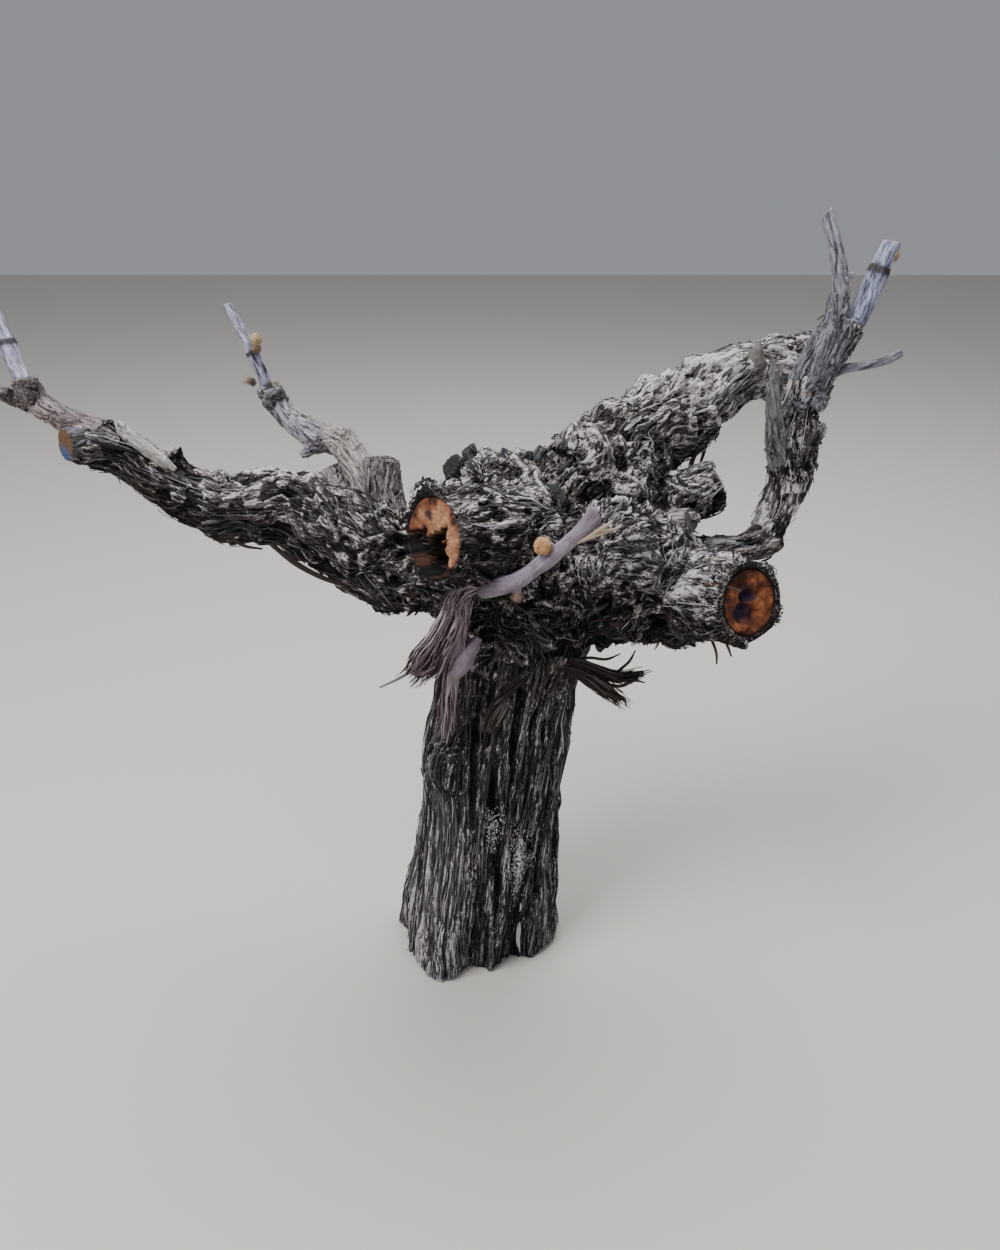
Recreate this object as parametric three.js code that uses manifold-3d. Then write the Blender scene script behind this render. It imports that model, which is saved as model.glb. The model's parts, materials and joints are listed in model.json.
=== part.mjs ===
// A bare old grapevine, trained as a low bush and pruned back to spurs.
//
// Millimetres, +Z up. The origin is the middle of the trunk's flat cut at ground level.
// -Y is the front. The head lies over to +X, where most of the arms and canes are.
//
// Each limb is a tapering rod, told by a few stations. A station is a bend or a swelling of the
// real limb: [x, y, z, radius]. What lies between two stations is worked out by a smooth curve.
// Limbs start inside what carries them and are then cut back to a thin clear gap round it.

import * as THREE from 'three';
import { mergeVertices } from 'three/addons/utils/BufferGeometryUtils.js';
import Module from 'manifold-3d';

const wasm = await Module();
wasm.setup();

const GAP = 0.3;
const TURN = 2 * Math.PI;

// The trunk, from its flat foot to the neck under the head.
const TRUNK_HEIGHT = 305;
const TRUNK_SIDES = 72;
const TRUNK_RINGS = 16;
const TRUNK_STATIONS = [
  [0, 0, 0, 58],
  [2, 0, 35, 57],
  [7, 0, 85, 54],
  [12, 0, 140, 51],
  [18, 0, 195, 52],
  [25, 0, 245, 48],
  [34, -2, TRUNK_HEIGHT, 50],
];
const ROOT_LOBES = [228, 350, 55, 110, 165];
const ROOT_LOBE_SWELL = 0.14;
const ROOT_LOBE_WIDTH = 24;
const ROOT_LOBE_REACH = 85;
const FOOT_HOLLOWS = [
  { angle: 269, width: 13, depth: 0.34, reach: 95 },
  { angle: 304, width: 24, depth: 0.3, reach: 120 },
];
const TRUNK_RIBS = [
  { count: 12, height: 4.6, width: 8.5, wander: 9, sway: 70, phase: 1.7, swell: 45 },
  { count: 25, height: 3, width: 4.2, wander: 4, sway: 50, phase: 2.9, swell: 36 },
];
const RIBS_SUNK = 2;
const TRUNK_KNOTS = [
  [-10, -30, 198, 25],
  [48, 2, 136, 20],
  [54, 10, 214, 22],
  [-20, 28, 150, 24],
];

// The swollen head: round masses grown into each other, [x, y, z, half width, half depth, half height].
const HEAD_MASSES = [
  [44, 0, 350, 74, 60, 56],
  [-4, -2, 356, 56, 54, 46],
  [108, -8, 345, 58, 56, 50],
  [32, 14, 388, 58, 42, 34],
  [88, 22, 402, 48, 44, 36],
  [104, -34, 368, 40, 34, 34],
];
const HEAD_ROUND = { sides: 16, bands: 11 };
const BURR_COUNT = 18;
const BURR_RADIUS = [10, 17];
const BURR_SUNK = 0.75;
const BURR_SEED = 11;
const HEAD_STUBS = [
  [[-14, 18, 396, 9], [-14, 26, 421, 7.7]],
  [[-3, 22, 404, 6], [-2, 28, 427, 4.6]],
  [[48, 18, 404, 9], [50, 26, 424, 7]],
  [[23, 8, 404, 3.4], [23, 16, 430, 2.4]],
  [[50, -34, 392, 13], [54, -38, 419, 8]],
];

// The left arm, with the snags of three old spurs, and what grows on its end.
const LEFT_ARM = [
  [-1, 0, 350, 37],
  [-51, -5, 350, 33],
  [-96, 0, 373, 30],
  [-131, 8, 386, 26],
  [-158, 12, 382, 21],
  [-182, 12, 385, 19.5],
  [-202, 8, 400, 18.5],
  [-219, 4, 412, 16],
  [-234, 0, 429, 14.5],
  [-252, -5, 436, 15.5],
  [-268, -10, 438, 11],
];
const LEFT_ARM_SNAGS = [
  [[-242, -3, 434, 7], [-241, 0, 452, 5.3]],
  [[-198, 6, 405, 10], [-205, 8, 429, 6.8]],
  [[-176, 12, 392, 8], [-176, 14, 410, 4.8]],
];
const LEFT_SPUR = [
  [-246, -4, 440, 11.5],
  [-264, 0, 446, 10],
  [-279, 4, 454, 8.8],
  [-290, 8, 461, 8.6],
  [-296, 10, 469, 9],
  [-297, 11, 476, 7.4],
];
const LEFT_SPUR_TWIG = [
  [-290, 7, 458, 5.4],
  [-305, 4, 465, 4],
  [-318, 0, 474, 2.8],
];
const LEFT_CANE = [
  [-297, 11, 472, 7],
  [-304, 17, 487, 6],
  [-308, 21, 496, 6.9],
  [-311, 24, 503, 5.9],
  [-321, 32, 526, 5.2],
];

// The spur that arches up behind the left arm, its cane, and the two stubs beside it.
const UPPER_LEFT_ARM = [
  [-58, 16, 362, 14],
  [-75, 36, 392, 11.5],
  [-87, 50, 410, 10.4],
  [-98, 60, 420, 10.2],
  [-114, 68, 420, 10.4],
  [-130, 74, 427, 10],
  [-144, 80, 439, 9.4],
  [-150, 83, 449, 9.2],
];
const UPPER_LEFT_CANE = [
  [-149, 82, 445, 6],
  [-157, 87, 465, 4.8],
  [-161, 89, 474, 5.6],
  [-168, 93, 489, 4.4],
  [-181, 99, 513, 3.9],
];
const UPPER_LEFT_BUDS = [
  [-159, 92, 485, 4.6, 6.2],
  [-166, 84, 455, 3.6, 4.6],
  [-147, 85, 455, 2.6, 3.4],
];
const UPPER_LEFT_STUB = [
  [-58, 8, 365, 15],
  [-62, 16, 392, 13],
  [-63, 19, 409, 12.4],
  [-63, 20, 419, 11],
];
const BACK_LEFT_STUB = [
  [-84, 22, 368, 11],
  [-99, 42, 388, 9.4],
  [-112, 60, 405, 8],
];

// The two thick stubs sawn off at the front. Each shows a core of wood in a sleeve of bark.
const FRONT_LEFT_STUB = [
  [46, -22, 378, 30],
  [10, -52, 390, 29],
  [-22, -78, 397, 27.5],
];
const RIGHT_FRONT_STUB = [
  [88, -6, 342, 34],
  [132, -22, 339, 33],
  [164, -54, 345, 30],
  [180, -80, 354, 27.5],
];
const CORE_DEPTH = 14;
const CORE_BARK = 3.2;
const ROT_POCKET = { drop: 13, radius: 12, depth: 11 };

// The rear arm, the knob and the small stub beside it.
const REAR_ARM = [
  [72, 8, 400, 36],
  [112, 36, 424, 33],
  [146, 62, 434, 29],
  [170, 88, 446, 25],
  [196, 108, 453, 22],
  [224, 126, 457, 21],
  [250, 140, 461, 18],
  [269, 150, 470, 14],
];
const REAR_ARM_SNAG = [[206, 100, 460, 13], [208, 96, 478, 9]];
const RIGHT_KNOB = [
  [112, 0, 370, 22],
  [136, 8, 386, 19],
  [158, 14, 395, 18],
  [172, 18, 400, 15.5],
];
const RIGHT_SMALL_STUB = [
  [120, -12, 374, 9],
  [141, -20, 387, 7],
  [153, -24, 394, 6],
];

// The right arm, split where it bends up, with its dead spurs and its canes.
const RIGHT_ARM_LOWER = [
  [127, 0, 349, 17],
  [152, 6, 351, 13.4],
  [170, 9, 352, 11.6],
  [194, 14, 353, 11],
  [212, 18, 358, 12],
];
const RIGHT_ARM_UPPER = [
  [210, 17, 354, 11.5],
  [220, 22, 375, 11],
  [226, 27, 392, 13],
  [227, 33, 414, 16.4],
  [228, 37, 436, 14.8],
  [233, 40, 455, 13.4],
  [241, 45, 476, 13],
  [251, 49, 495, 13.4],
  [256, 51, 506, 11],
];
const RIGHT_ARM_NUB = [[244, 42, 448, 6], [252, 40, 465, 2.9]];
const FRONT_SPUR = [
  [219, 26, 408, 10],
  [213, 22, 428, 7.8],
  [208, 18, 446, 5.8],
  [204, 15, 467, 4.6],
  [202, 12, 488, 4],
];
const SIDE_STUB = [
  [233, 36, 410, 5],
  [240, 40, 427, 3.7],
  [244, 44, 443, 3.3],
];
const LEFT_UPRIGHT_CANE = [
  [251, 48, 502, 8],
  [251, 50, 524, 6],
  [248, 53, 542, 5],
  [243, 56, 558, 4.4],
  [236, 60, 576, 3.8],
];
const LEFT_UPRIGHT_BUD = [256, 50, 536, 2.2, 3];
const RIGHT_UPRIGHT_CANE = [
  [257, 52, 494, 9],
  [268, 58, 508, 8.4],
  [275, 63, 523, 8],
  [280, 67, 534, 8.6],
  [282, 68, 540, 7.2],
  [290, 74, 557, 6.6],
];
const RIGHT_UPRIGHT_BUD = [293, 72, 547, 4.4, 5];
const SIDE_SHOOT = [
  [246, 44, 470, 5],
  [262, 44, 476, 3.8],
  [279, 42, 480, 3.5],
  [296, 38, 487, 3.3],
];

// The shoot at the front and the loose bark that hangs from the head.
const FRONT_SHOOT = [
  [2, -52, 350, 8],
  [12, -72, 364, 8],
  [27, -84, 374, 6.8],
  [42, -90, 385, 6.2],
  [60, -94, 400, 6],
  [78, -97, 421, 6.4],
];
const FRONT_SHOOT_BUDS = [
  [44, -91, 396, 5, 6.4],
  [31, -84, 363, 3.2, 4.4],
];
const HANGING_BARK = [
  [-8, -66, 372, 9],
  [-18, -70, 342, 11],
  [-29, -70, 314, 10],
  [-39, -67, 290, 6],
];
const HANGING_STRIP = [
  [-10, -66, 360, 7],
  [-15, -62, 316, 7],
  [-17, -56, 278, 5.4],
  [-20, -52, 250, 3.4],
];
const HANGING_BARK_THINNESS = 0.36;
const BARK_FLAP = [
  [42, -30, 288, 9],
  [66, -34, 284, 9],
  [88, -19, 267, 10],
  [106, -8, 241, 9.4],
];
const BARK_FLAP_THINNESS = 0.45;

const OLD_BARK = { color: 0x4a4340, roughness: 0.95 };
const TRUNK_BARK = { color: 0x3f3935, roughness: 0.95 };
const CUT_WOOD = { color: 0xa8683a, roughness: 0.8 };
const CANE = { color: 0x85787c, roughness: 0.6 };
const SPUR_WOOD = { color: 0x6b5e59, roughness: 0.75 };
const PEELED_BARK = { color: 0x6e5a57, roughness: 0.85 };

// A small seeded generator, so that each run gives the same burrs.
function seeded(seed) {
  let state = seed;
  return () => {
    state = (state * 1664525 + 1013904223) % 4294967296;
    return state / 4294967296;
  };
}

// The closed solid of a geometry, with the vertices that its faces share merged.
function solid(geometry) {
  const bare = geometry.clone();
  bare.deleteAttribute('normal');
  bare.deleteAttribute('uv');
  const merged = mergeVertices(bare, 1e-4);
  return new wasm.Manifold(new wasm.Mesh({
    numProp: 3,
    vertProperties: new Float32Array(merged.attributes.position.array),
    triVerts: new Uint32Array(merged.index.array),
  }));
}

function fuse(first, ...others) {
  return others.reduce((whole, other) => whole.add(other), first);
}

// The largest of the bodies that a cut leaves: loose scraps of it are dropped.
function largest(shape) {
  const bodies = shape.decompose();
  return bodies.reduce((best, body) => (body.volume() > best.volume() ? body : best));
}

// Old bark swells and sinks in long low waves round a limb. They drift slowly along it.
function ripple(angle, along, seed) {
  const drift = along / 60;
  return 0.4 * Math.sin(2 * angle + drift + seed)
    + 0.35 * Math.sin(3 * angle - 1.4 * drift + 2 * seed)
    + 0.25 * Math.sin(5 * angle + 0.8 * drift + 3 * seed);
}

// The stations' radius at a place along them, eased from each station to the next.
function radiusAt(stations, place) {
  const last = stations.length - 1;
  const before = Math.min(Math.floor(place * last), last - 1);
  const ease = THREE.MathUtils.smoothstep(place * last - before, 0, 1);
  return THREE.MathUtils.lerp(stations[before][3], stations[before + 1][3], ease);
}

// A tapering limb through its stations: a cylinder bent along their curve.
// facing is the way its thin side looks, thin is that side's share of the width, and grow
// makes the same limb wider and longer all round, to cut its neighbours clear of it.
function limb(stations, { sides = 14, step = 15, rough = 0.07, seed = 1, facing = [0, 1, 0.2],
  thin = 1, grow = 0 } = {}) {
  const points = stations.map(([x, y, z]) => new THREE.Vector3(x, y, z));
  const curve = points.length > 2
    ? new THREE.CatmullRomCurve3(points, false, 'centripetal')
    : new THREE.LineCurve3(...points);
  const length = curve.getLength();
  const rings = Math.max(2, Math.round(length / step));
  const geometry = new THREE.CylinderGeometry(1, 1, 1, sides, rings);
  const position = geometry.attributes.position;
  const looks = new THREE.Vector3(...facing).normalize();
  const side = new THREE.Vector3();
  const front = new THREE.Vector3();
  for (let i = 0; i < position.count; i += 1) {
    const across = position.getX(i);
    const deep = position.getZ(i);
    const along = THREE.MathUtils.clamp(position.getY(i) + 0.5, 0, 1);
    const place = curve.getUtoTmapping(along);
    const tangent = curve.getTangent(place);
    side.crossVectors(tangent, looks).normalize();
    front.crossVectors(side, tangent).normalize();
    const wave = 1 + rough * ripple(Math.atan2(deep, across), along * length, seed);
    const radius = radiusAt(stations, place) * wave;
    const point = curve.getPoint(place)
      .addScaledVector(side, across * (radius + grow))
      .addScaledVector(front, deep * (radius * thin + grow));
    if (along === 0 || along === 1) point.addScaledVector(tangent, (2 * along - 1) * grow);
    position.setXYZ(i, point.x, point.y, point.z);
  }
  return solid(geometry);
}

// A round mass, such as a burr or a swelling.
function mass([x, y, z, width, depth = width, height = width], grow = 0, sides = 8, bands = 6) {
  const geometry = new THREE.SphereGeometry(1, sides, bands);
  geometry.rotateX(Math.PI / 2);
  geometry.scale(width + grow, depth + grow, height + grow);
  geometry.translate(x, y, z);
  return solid(geometry);
}

// A bud: a small egg, told by its place, its half width and its half height.
function bud([x, y, z, width, height], grow = 0) {
  return mass([x, y, z, width, width, height], grow);
}

function degreesApart(angle, other) {
  const apart = Math.abs(angle - other) % 360;
  return Math.min(apart, 360 - apart);
}

// How much wider the trunk is in one direction at one height, from its roots and its hollows.
function rootFlare(angle, height) {
  const reach = Math.exp(-height / ROOT_LOBE_REACH);
  const lobes = ROOT_LOBES.map((lobe) => Math.exp(-((degreesApart(angle, lobe) / ROOT_LOBE_WIDTH) ** 2)));
  const hollows = FOOT_HOLLOWS.map((hollow) => hollow.depth * Math.exp(-height / hollow.reach)
    * Math.exp(-((degreesApart(angle, hollow.angle) / hollow.width) ** 2)));
  return ROOT_LOBE_SWELL * reach * Math.max(...lobes) - Math.max(...hollows);
}

// Broad ribs of bark run up the trunk, about 30 mm apart, with narrow ones between them. Each
// one wanders and swells on its way.
function ribRise(angle, height) {
  let rise = -RIBS_SUNK;
  for (const ribs of TRUNK_RIBS) {
    for (let i = 0; i < ribs.count; i += 1) {
      const middle = (i * 360) / ribs.count + ribs.wander * Math.sin(height / ribs.sway + ribs.phase * i);
      const swell = 0.7 + 0.3 * Math.sin(2.4 * i + height / ribs.swell);
      rise += ribs.height * swell * Math.exp(-((degreesApart(angle, middle) / ribs.width) ** 2));
    }
  }
  return rise;
}

// The trunk: level rings, so that its foot is one flat face, with ribs and knots.
function trunk(grow = 0) {
  const curve = new THREE.CatmullRomCurve3(TRUNK_STATIONS.map(([x, y, z]) => new THREE.Vector3(x, y, z)));
  const geometry = new THREE.CylinderGeometry(1, 1, 1, TRUNK_SIDES, TRUNK_RINGS);
  geometry.rotateX(Math.PI / 2);
  const position = geometry.attributes.position;
  for (let i = 0; i < position.count; i += 1) {
    const along = THREE.MathUtils.clamp(position.getZ(i) + 0.5, 0, 1);
    const centre = curve.getPoint(along);
    const turn = Math.atan2(position.getY(i), position.getX(i));
    const degrees = (THREE.MathUtils.radToDeg(turn) + 360) % 360;
    const bark = 0.035 * ripple(turn, centre.z, 4);
    const radius = radiusAt(TRUNK_STATIONS, along) * (1 + bark + rootFlare(degrees, centre.z))
      + ribRise(degrees, centre.z) + grow;
    const height = along === 0 ? 0 : centre.z;
    position.setXYZ(
      i,
      centre.x + position.getX(i) * radius,
      centre.y + position.getY(i) * radius,
      height,
    );
  }
  return fuse(solid(geometry), ...TRUNK_KNOTS.map((knot) => mass(knot, grow)));
}

// Burrs sit all round the head's masses, in turn, on a spiral from the bottom of each to its top.
function headBurrs(grow) {
  const random = seeded(BURR_SEED);
  const golden = TURN * 0.381966;
  const burrs = [];
  for (let i = 0; i < BURR_COUNT; i += 1) {
    const [x, y, z, width, depth, height] = HEAD_MASSES[i % HEAD_MASSES.length];
    const rise = 1.7 * ((i + 0.5) / BURR_COUNT) - 0.8;
    const ring = Math.sqrt(1 - rise * rise);
    const turn = i * golden;
    const radius = THREE.MathUtils.lerp(...BURR_RADIUS, random());
    burrs.push(mass([
      x + ring * Math.cos(turn) * (width - radius * BURR_SUNK),
      y + ring * Math.sin(turn) * (depth - radius * BURR_SUNK),
      z + rise * (height - radius * BURR_SUNK),
      radius,
    ], grow, 7, 5));
  }
  return burrs;
}

function head(grow = 0) {
  const masses = HEAD_MASSES.map((one) => mass(one, grow, HEAD_ROUND.sides, HEAD_ROUND.bands));
  const stubs = HEAD_STUBS.map((stub, i) => limb(stub, { sides: 8, seed: i, grow, step: 20 }));
  return fuse(...masses, ...headBurrs(grow), ...stubs);
}

// A limb with its snags or twigs fused on.
function branched(stations, snags, settings, snagSettings = {}) {
  const small = { sides: 8, step: 12, ...snagSettings, grow: settings.grow };
  return fuse(limb(stations, settings), ...snags.map((snag, i) => limb(snag, { ...small, seed: i + 2 })));
}

const leftArm = (grow = 0) => branched(LEFT_ARM, LEFT_ARM_SNAGS, { seed: 3, grow });
const leftSpur = (grow = 0) => branched(LEFT_SPUR, [LEFT_SPUR_TWIG], { seed: 5, sides: 10, step: 8, grow });
const leftCane = (grow = 0) => limb(LEFT_CANE, { sides: 9, step: 7, rough: 0.02, grow });
const upperLeftArm = (grow = 0) => limb(UPPER_LEFT_ARM, {
  seed: 7, sides: 12, step: 11, facing: [0.6, 0.2, 1], grow,
});
const upperLeftStub = (grow = 0) => limb(UPPER_LEFT_STUB, { seed: 8, sides: 12, step: 14, grow });
const backLeftStub = (grow = 0) => limb(BACK_LEFT_STUB, { seed: 9, sides: 10, step: 12, grow });
const rearArm = (grow = 0) => branched(REAR_ARM, [REAR_ARM_SNAG], {
  seed: 12, facing: [0, 0, 1], grow,
});
const rightKnob = (grow = 0) => limb(RIGHT_KNOB, { seed: 13, sides: 12, facing: [0, 0.3, 1], grow });
const rightSmallStub = (grow = 0) => limb(RIGHT_SMALL_STUB, { seed: 14, sides: 9, grow });
const rightArmLower = (grow = 0) => limb(RIGHT_ARM_LOWER, { seed: 15, sides: 14, step: 12, grow });
const rightArmUpper = (grow = 0) => branched(RIGHT_ARM_UPPER, [RIGHT_ARM_NUB], {
  seed: 16, sides: 14, step: 11, grow,
});
const frontSpur = (grow = 0) => limb(FRONT_SPUR, { seed: 17, sides: 9, step: 10, grow });
const sideStub = (grow = 0) => limb(SIDE_STUB, { seed: 18, sides: 8, step: 10, grow });
const LOOSE_BARK_SETTINGS = { sides: 8, step: 12, facing: [0.1, 1, 0], thin: HANGING_BARK_THINNESS };
const hangingBark = (grow = 0) => branched(HANGING_BARK, [HANGING_STRIP], {
  ...LOOSE_BARK_SETTINGS, seed: 20, grow,
}, LOOSE_BARK_SETTINGS);
const barkFlap = (grow = 0) => limb(BARK_FLAP, {
  seed: 21, sides: 8, step: 9, facing: [0.4, 0.3, 1], thin: BARK_FLAP_THINNESS, grow,
});

function cane(stations, buds, settings = {}) {
  return (grow = 0) => fuse(
    limb(stations, { sides: 9, step: 8, rough: 0.02, grow, ...settings }),
    ...buds.map((one) => bud(one, grow)),
  );
}

const upperLeftCane = cane(UPPER_LEFT_CANE, UPPER_LEFT_BUDS);
const leftUprightCane = cane(LEFT_UPRIGHT_CANE, [LEFT_UPRIGHT_BUD]);
const rightUprightCane = cane(RIGHT_UPRIGHT_CANE, [RIGHT_UPRIGHT_BUD]);
const sideShoot = cane(SIDE_SHOOT, [], { facing: [0, 0.2, 1] });
const frontShoot = cane(FRONT_SHOOT, FRONT_SHOOT_BUDS, { facing: [0, 0.2, 1] });

// A sawn stub: a sleeve of bark, with a socket at its end for the core of wood.
function sawnStub(stations, settings) {
  const tip = new THREE.Vector3(...stations[stations.length - 1]);
  const before = new THREE.Vector3(...stations[stations.length - 2]);
  const axis = new THREE.Vector3().subVectors(tip, before).normalize();
  const coreRadius = stations[stations.length - 1][3] - CORE_BARK;
  const inner = tip.clone().addScaledVector(axis, -CORE_DEPTH);
  const outer = tip.clone().addScaledVector(axis, GAP);
  const core = (grow = 0) => limb(
    [[...inner.toArray(), coreRadius], [...(grow ? outer : tip).toArray(), coreRadius]],
    { ...settings, rough: 0.03, step: 30, grow },
  );
  const whole = (grow = 0) => limb(stations, { ...settings, grow });
  return { core, whole, tip, axis, sleeve: () => whole().subtract(core(GAP)) };
}

const FRONT_STUB_SETTINGS = { seed: 10, sides: 16, step: 20, facing: [0, 0.2, 1] };
const frontLeft = sawnStub(FRONT_LEFT_STUB, FRONT_STUB_SETTINGS);
const rightFront = sawnStub(RIGHT_FRONT_STUB, { ...FRONT_STUB_SETTINGS, seed: 19 });

// The lower half of the front left core has rotted back into a pocket, open at the cut.
function rottenCore() {
  const pocket = frontLeft.tip.clone();
  pocket.z -= ROT_POCKET.drop;
  const hollow = mass([...pocket.toArray(), ROT_POCKET.radius, ROT_POCKET.depth, ROT_POCKET.radius]);
  return frontLeft.core().subtract(hollow);
}

// The whole part. Each piece is cut clear of the ones that carry or touch it.
const vine = new THREE.Group();

function add(name, shape, finish, neighbours = []) {
  const cut = neighbours.reduce((rest, neighbour) => rest.subtract(neighbour(GAP)), shape);
  const { vertProperties, triVerts } = largest(cut).getMesh();
  const geometry = new THREE.BufferGeometry();
  geometry.setAttribute('position', new THREE.BufferAttribute(vertProperties, 3));
  geometry.setIndex(new THREE.BufferAttribute(triVerts, 1));
  geometry.computeVertexNormals();
  const mesh = new THREE.Mesh(geometry, new THREE.MeshStandardMaterial({ ...finish, metalness: 0 }));
  mesh.name = name;
  vine.add(mesh);
}

add('trunk', trunk(), TRUNK_BARK, [head]);
add('head', head(), OLD_BARK);
add('front_left_stub', frontLeft.sleeve(), OLD_BARK, [head]);
add('front_left_cut_wood', rottenCore(), CUT_WOOD);
add('right_front_stub', rightFront.sleeve(), OLD_BARK, [head]);
add('right_front_cut_wood', rightFront.core(), CUT_WOOD);
add('left_arm', leftArm(), OLD_BARK, [head, frontLeft.whole]);
add('left_spur', leftSpur(), SPUR_WOOD, [leftArm]);
add('left_cane', leftCane(), CANE, [leftSpur]);
add('upper_left_arm', upperLeftArm(), SPUR_WOOD, [head, leftArm]);
add('upper_left_cane', upperLeftCane(), CANE, [upperLeftArm]);
add('upper_left_stub', upperLeftStub(), OLD_BARK, [head, leftArm, upperLeftArm]);
add('back_left_stub', backLeftStub(), SPUR_WOOD, [head, leftArm, upperLeftArm]);
add('rear_arm', rearArm(), OLD_BARK, [head]);
add('right_arm_lower', rightArmLower(), OLD_BARK, [head, rightFront.whole]);
add('right_knob', rightKnob(), OLD_BARK, [head, rearArm, rightArmLower]);
add('right_small_stub', rightSmallStub(), OLD_BARK, [head, rightKnob]);
add('right_arm_upper', rightArmUpper(), OLD_BARK, [rightArmLower]);
add('front_spur', frontSpur(), SPUR_WOOD, [rightArmUpper]);
add('side_stub', sideStub(), SPUR_WOOD, [rightArmUpper]);
add('left_upright_cane', leftUprightCane(), CANE, [rightArmUpper]);
add('right_upright_cane', rightUprightCane(), CANE, [rightArmUpper, leftUprightCane]);
add('side_shoot', sideShoot(), CANE, [rightArmUpper]);
add('front_shoot', frontShoot(), CANE, [head, frontLeft.whole, trunk]);
add('hanging_bark', hangingBark(), PEELED_BARK, [head, frontLeft.whole, trunk, frontShoot]);
add('bark_flap', barkFlap(), PEELED_BARK, [head, trunk]);

export default vine;
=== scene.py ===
# %% [markdown]
# # A bare old grapevine
#
# This lesson dresses the frame of an old vine that was trained as a low bush. It stands in winter
# rest: a shaggy trunk, a swollen head, gnarled arms, two thick stubs sawn off at the front, and a few
# short canes with woolly buds. The frame gives every size and place. Sizes here are in millimetres,
# as a grower would measure them, and MM turns them to Blender's metres.

# %% Load the frame
import json
import math

import bpy
import numpy as np
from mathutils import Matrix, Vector
from mathutils.kdtree import KDTree

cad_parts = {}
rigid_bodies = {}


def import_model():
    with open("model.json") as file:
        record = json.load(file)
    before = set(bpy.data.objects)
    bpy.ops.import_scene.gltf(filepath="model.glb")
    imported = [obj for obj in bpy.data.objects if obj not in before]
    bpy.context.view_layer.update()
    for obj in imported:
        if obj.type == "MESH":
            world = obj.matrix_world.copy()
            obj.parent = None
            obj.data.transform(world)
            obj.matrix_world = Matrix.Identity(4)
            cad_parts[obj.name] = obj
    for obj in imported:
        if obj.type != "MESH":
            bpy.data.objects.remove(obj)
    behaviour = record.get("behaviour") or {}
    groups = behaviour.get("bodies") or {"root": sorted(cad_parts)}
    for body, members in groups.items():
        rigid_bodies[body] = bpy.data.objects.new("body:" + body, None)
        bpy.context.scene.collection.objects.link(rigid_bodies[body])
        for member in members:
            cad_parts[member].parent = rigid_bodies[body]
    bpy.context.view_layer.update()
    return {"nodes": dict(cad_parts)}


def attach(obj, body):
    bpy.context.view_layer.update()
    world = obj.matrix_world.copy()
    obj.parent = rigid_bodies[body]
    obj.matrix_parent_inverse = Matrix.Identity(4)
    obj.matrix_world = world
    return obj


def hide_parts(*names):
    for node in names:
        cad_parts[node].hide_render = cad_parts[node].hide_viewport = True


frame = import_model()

MM = 0.001
bpy.ops.object.select_all(action="DESELECT")

# %% [markdown]
# ## Camera
# The photograph was taken from chest height of a crouching person, with a phone's wide lens that
# looks down at the vine. A pinhole camera copies that: one focal length in pixels, one height and one
# angle. It comes first, so that every piece can be judged from the right place.

# %% Camera
PHOTO_LONG_SIDE = 1250
FOCAL_PIXELS = 1001
SENSOR_WIDTH = 36
CAMERA_PLACE = (20, -657, 632)
LOOK_DOWN = math.radians(27)

camera_data = bpy.data.cameras.new("photo_camera")
camera_data.sensor_width = SENSOR_WIDTH
camera_data.lens = FOCAL_PIXELS / PHOTO_LONG_SIDE * SENSOR_WIDTH
camera = bpy.data.objects.new("photo_camera", camera_data)
bpy.context.scene.collection.objects.link(camera)
camera.location = Vector(CAMERA_PLACE) * MM
camera.rotation_euler = (math.radians(90) - LOOK_DOWN, 0, 0)
bpy.context.scene.camera = camera
print("lens:", round(camera_data.lens, 2), "mm")

# %% [markdown]
# ## Colours and nodes
# Colours are written as the sRGB hex values that a colour picker shows. Shaders work in linear light,
# so one function turns them. A material is a tree of nodes, and one small function adds a node, fills
# its inputs and gives the socket that comes out of it, so that each material reads as a recipe.

# %% Colours and nodes
def linear(colour):
    """A hex colour in linear light. What isn't written in hex stays as it is."""
    if not isinstance(colour, str):
        return colour
    parts = [int(colour[i:i + 2], 16) / 255 for i in (1, 3, 5)]
    return tuple(c / 12.92 if c <= 0.04045 else ((c + 0.055) / 1.055) ** 2.4 for c in parts) + (1.0,)


def new_material(name):
    """A material, its tree of nodes and its shader."""
    material = bpy.data.materials.new(name)
    material.use_nodes = True
    return material, material.node_tree, material.node_tree.nodes["Principled BSDF"]


def fill(tree, node, values):
    """Links the sockets among a node's inputs, and sets what is a plain value or a colour."""
    for name, value in values.items():
        if isinstance(value, bpy.types.NodeSocket):
            tree.links.new(value, node.inputs[name])
        else:
            node.inputs[name].default_value = linear(value)


def add_node(tree, kind, output, values=None, stops=(), **settings):
    """Adds a node and gives one of its outputs. stops are a ramp's places and colours."""
    node = tree.nodes.new("ShaderNode" + kind)
    for name, value in settings.items():
        setattr(node, name, value)
    for i, (place, colour) in enumerate(stops):
        elements = node.color_ramp.elements
        if i >= len(elements):
            elements.new(place)
        elements[i].position, elements[i].color = place, linear(colour)
    fill(tree, node, values or {})
    return node.outputs[output]


print("a middle grey in linear light:", [round(part, 3) for part in linear("#808080")])

# %% [markdown]
# ## Floor and light
# The floor is plain and pale, and the light is a studio's: a large soft key from the upper left, as
# the sky lit the vine, a softer one from above, a weak fill from the right and an even surround.

# %% Floor and light
FLOOR_SIZE = 8
FLOOR_COLOUR, FLOOR_ROUGHNESS = "#cfcac3", 0.9
SKY_COLOUR, SKY_STRENGTH = "#e8ecf2", 0.36
# name, place, size and power
LIGHTS = [
    ("key_light", (-1.0, -0.8, 1.9), 1.0, 44),
    ("top_light", (0.3, 0.6, 1.9), 1.3, 30),
    ("fill_light", (1.6, -1.2, 0.9), 1.6, 5),
]
AIM = Vector((0, 0, 0.3))

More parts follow.
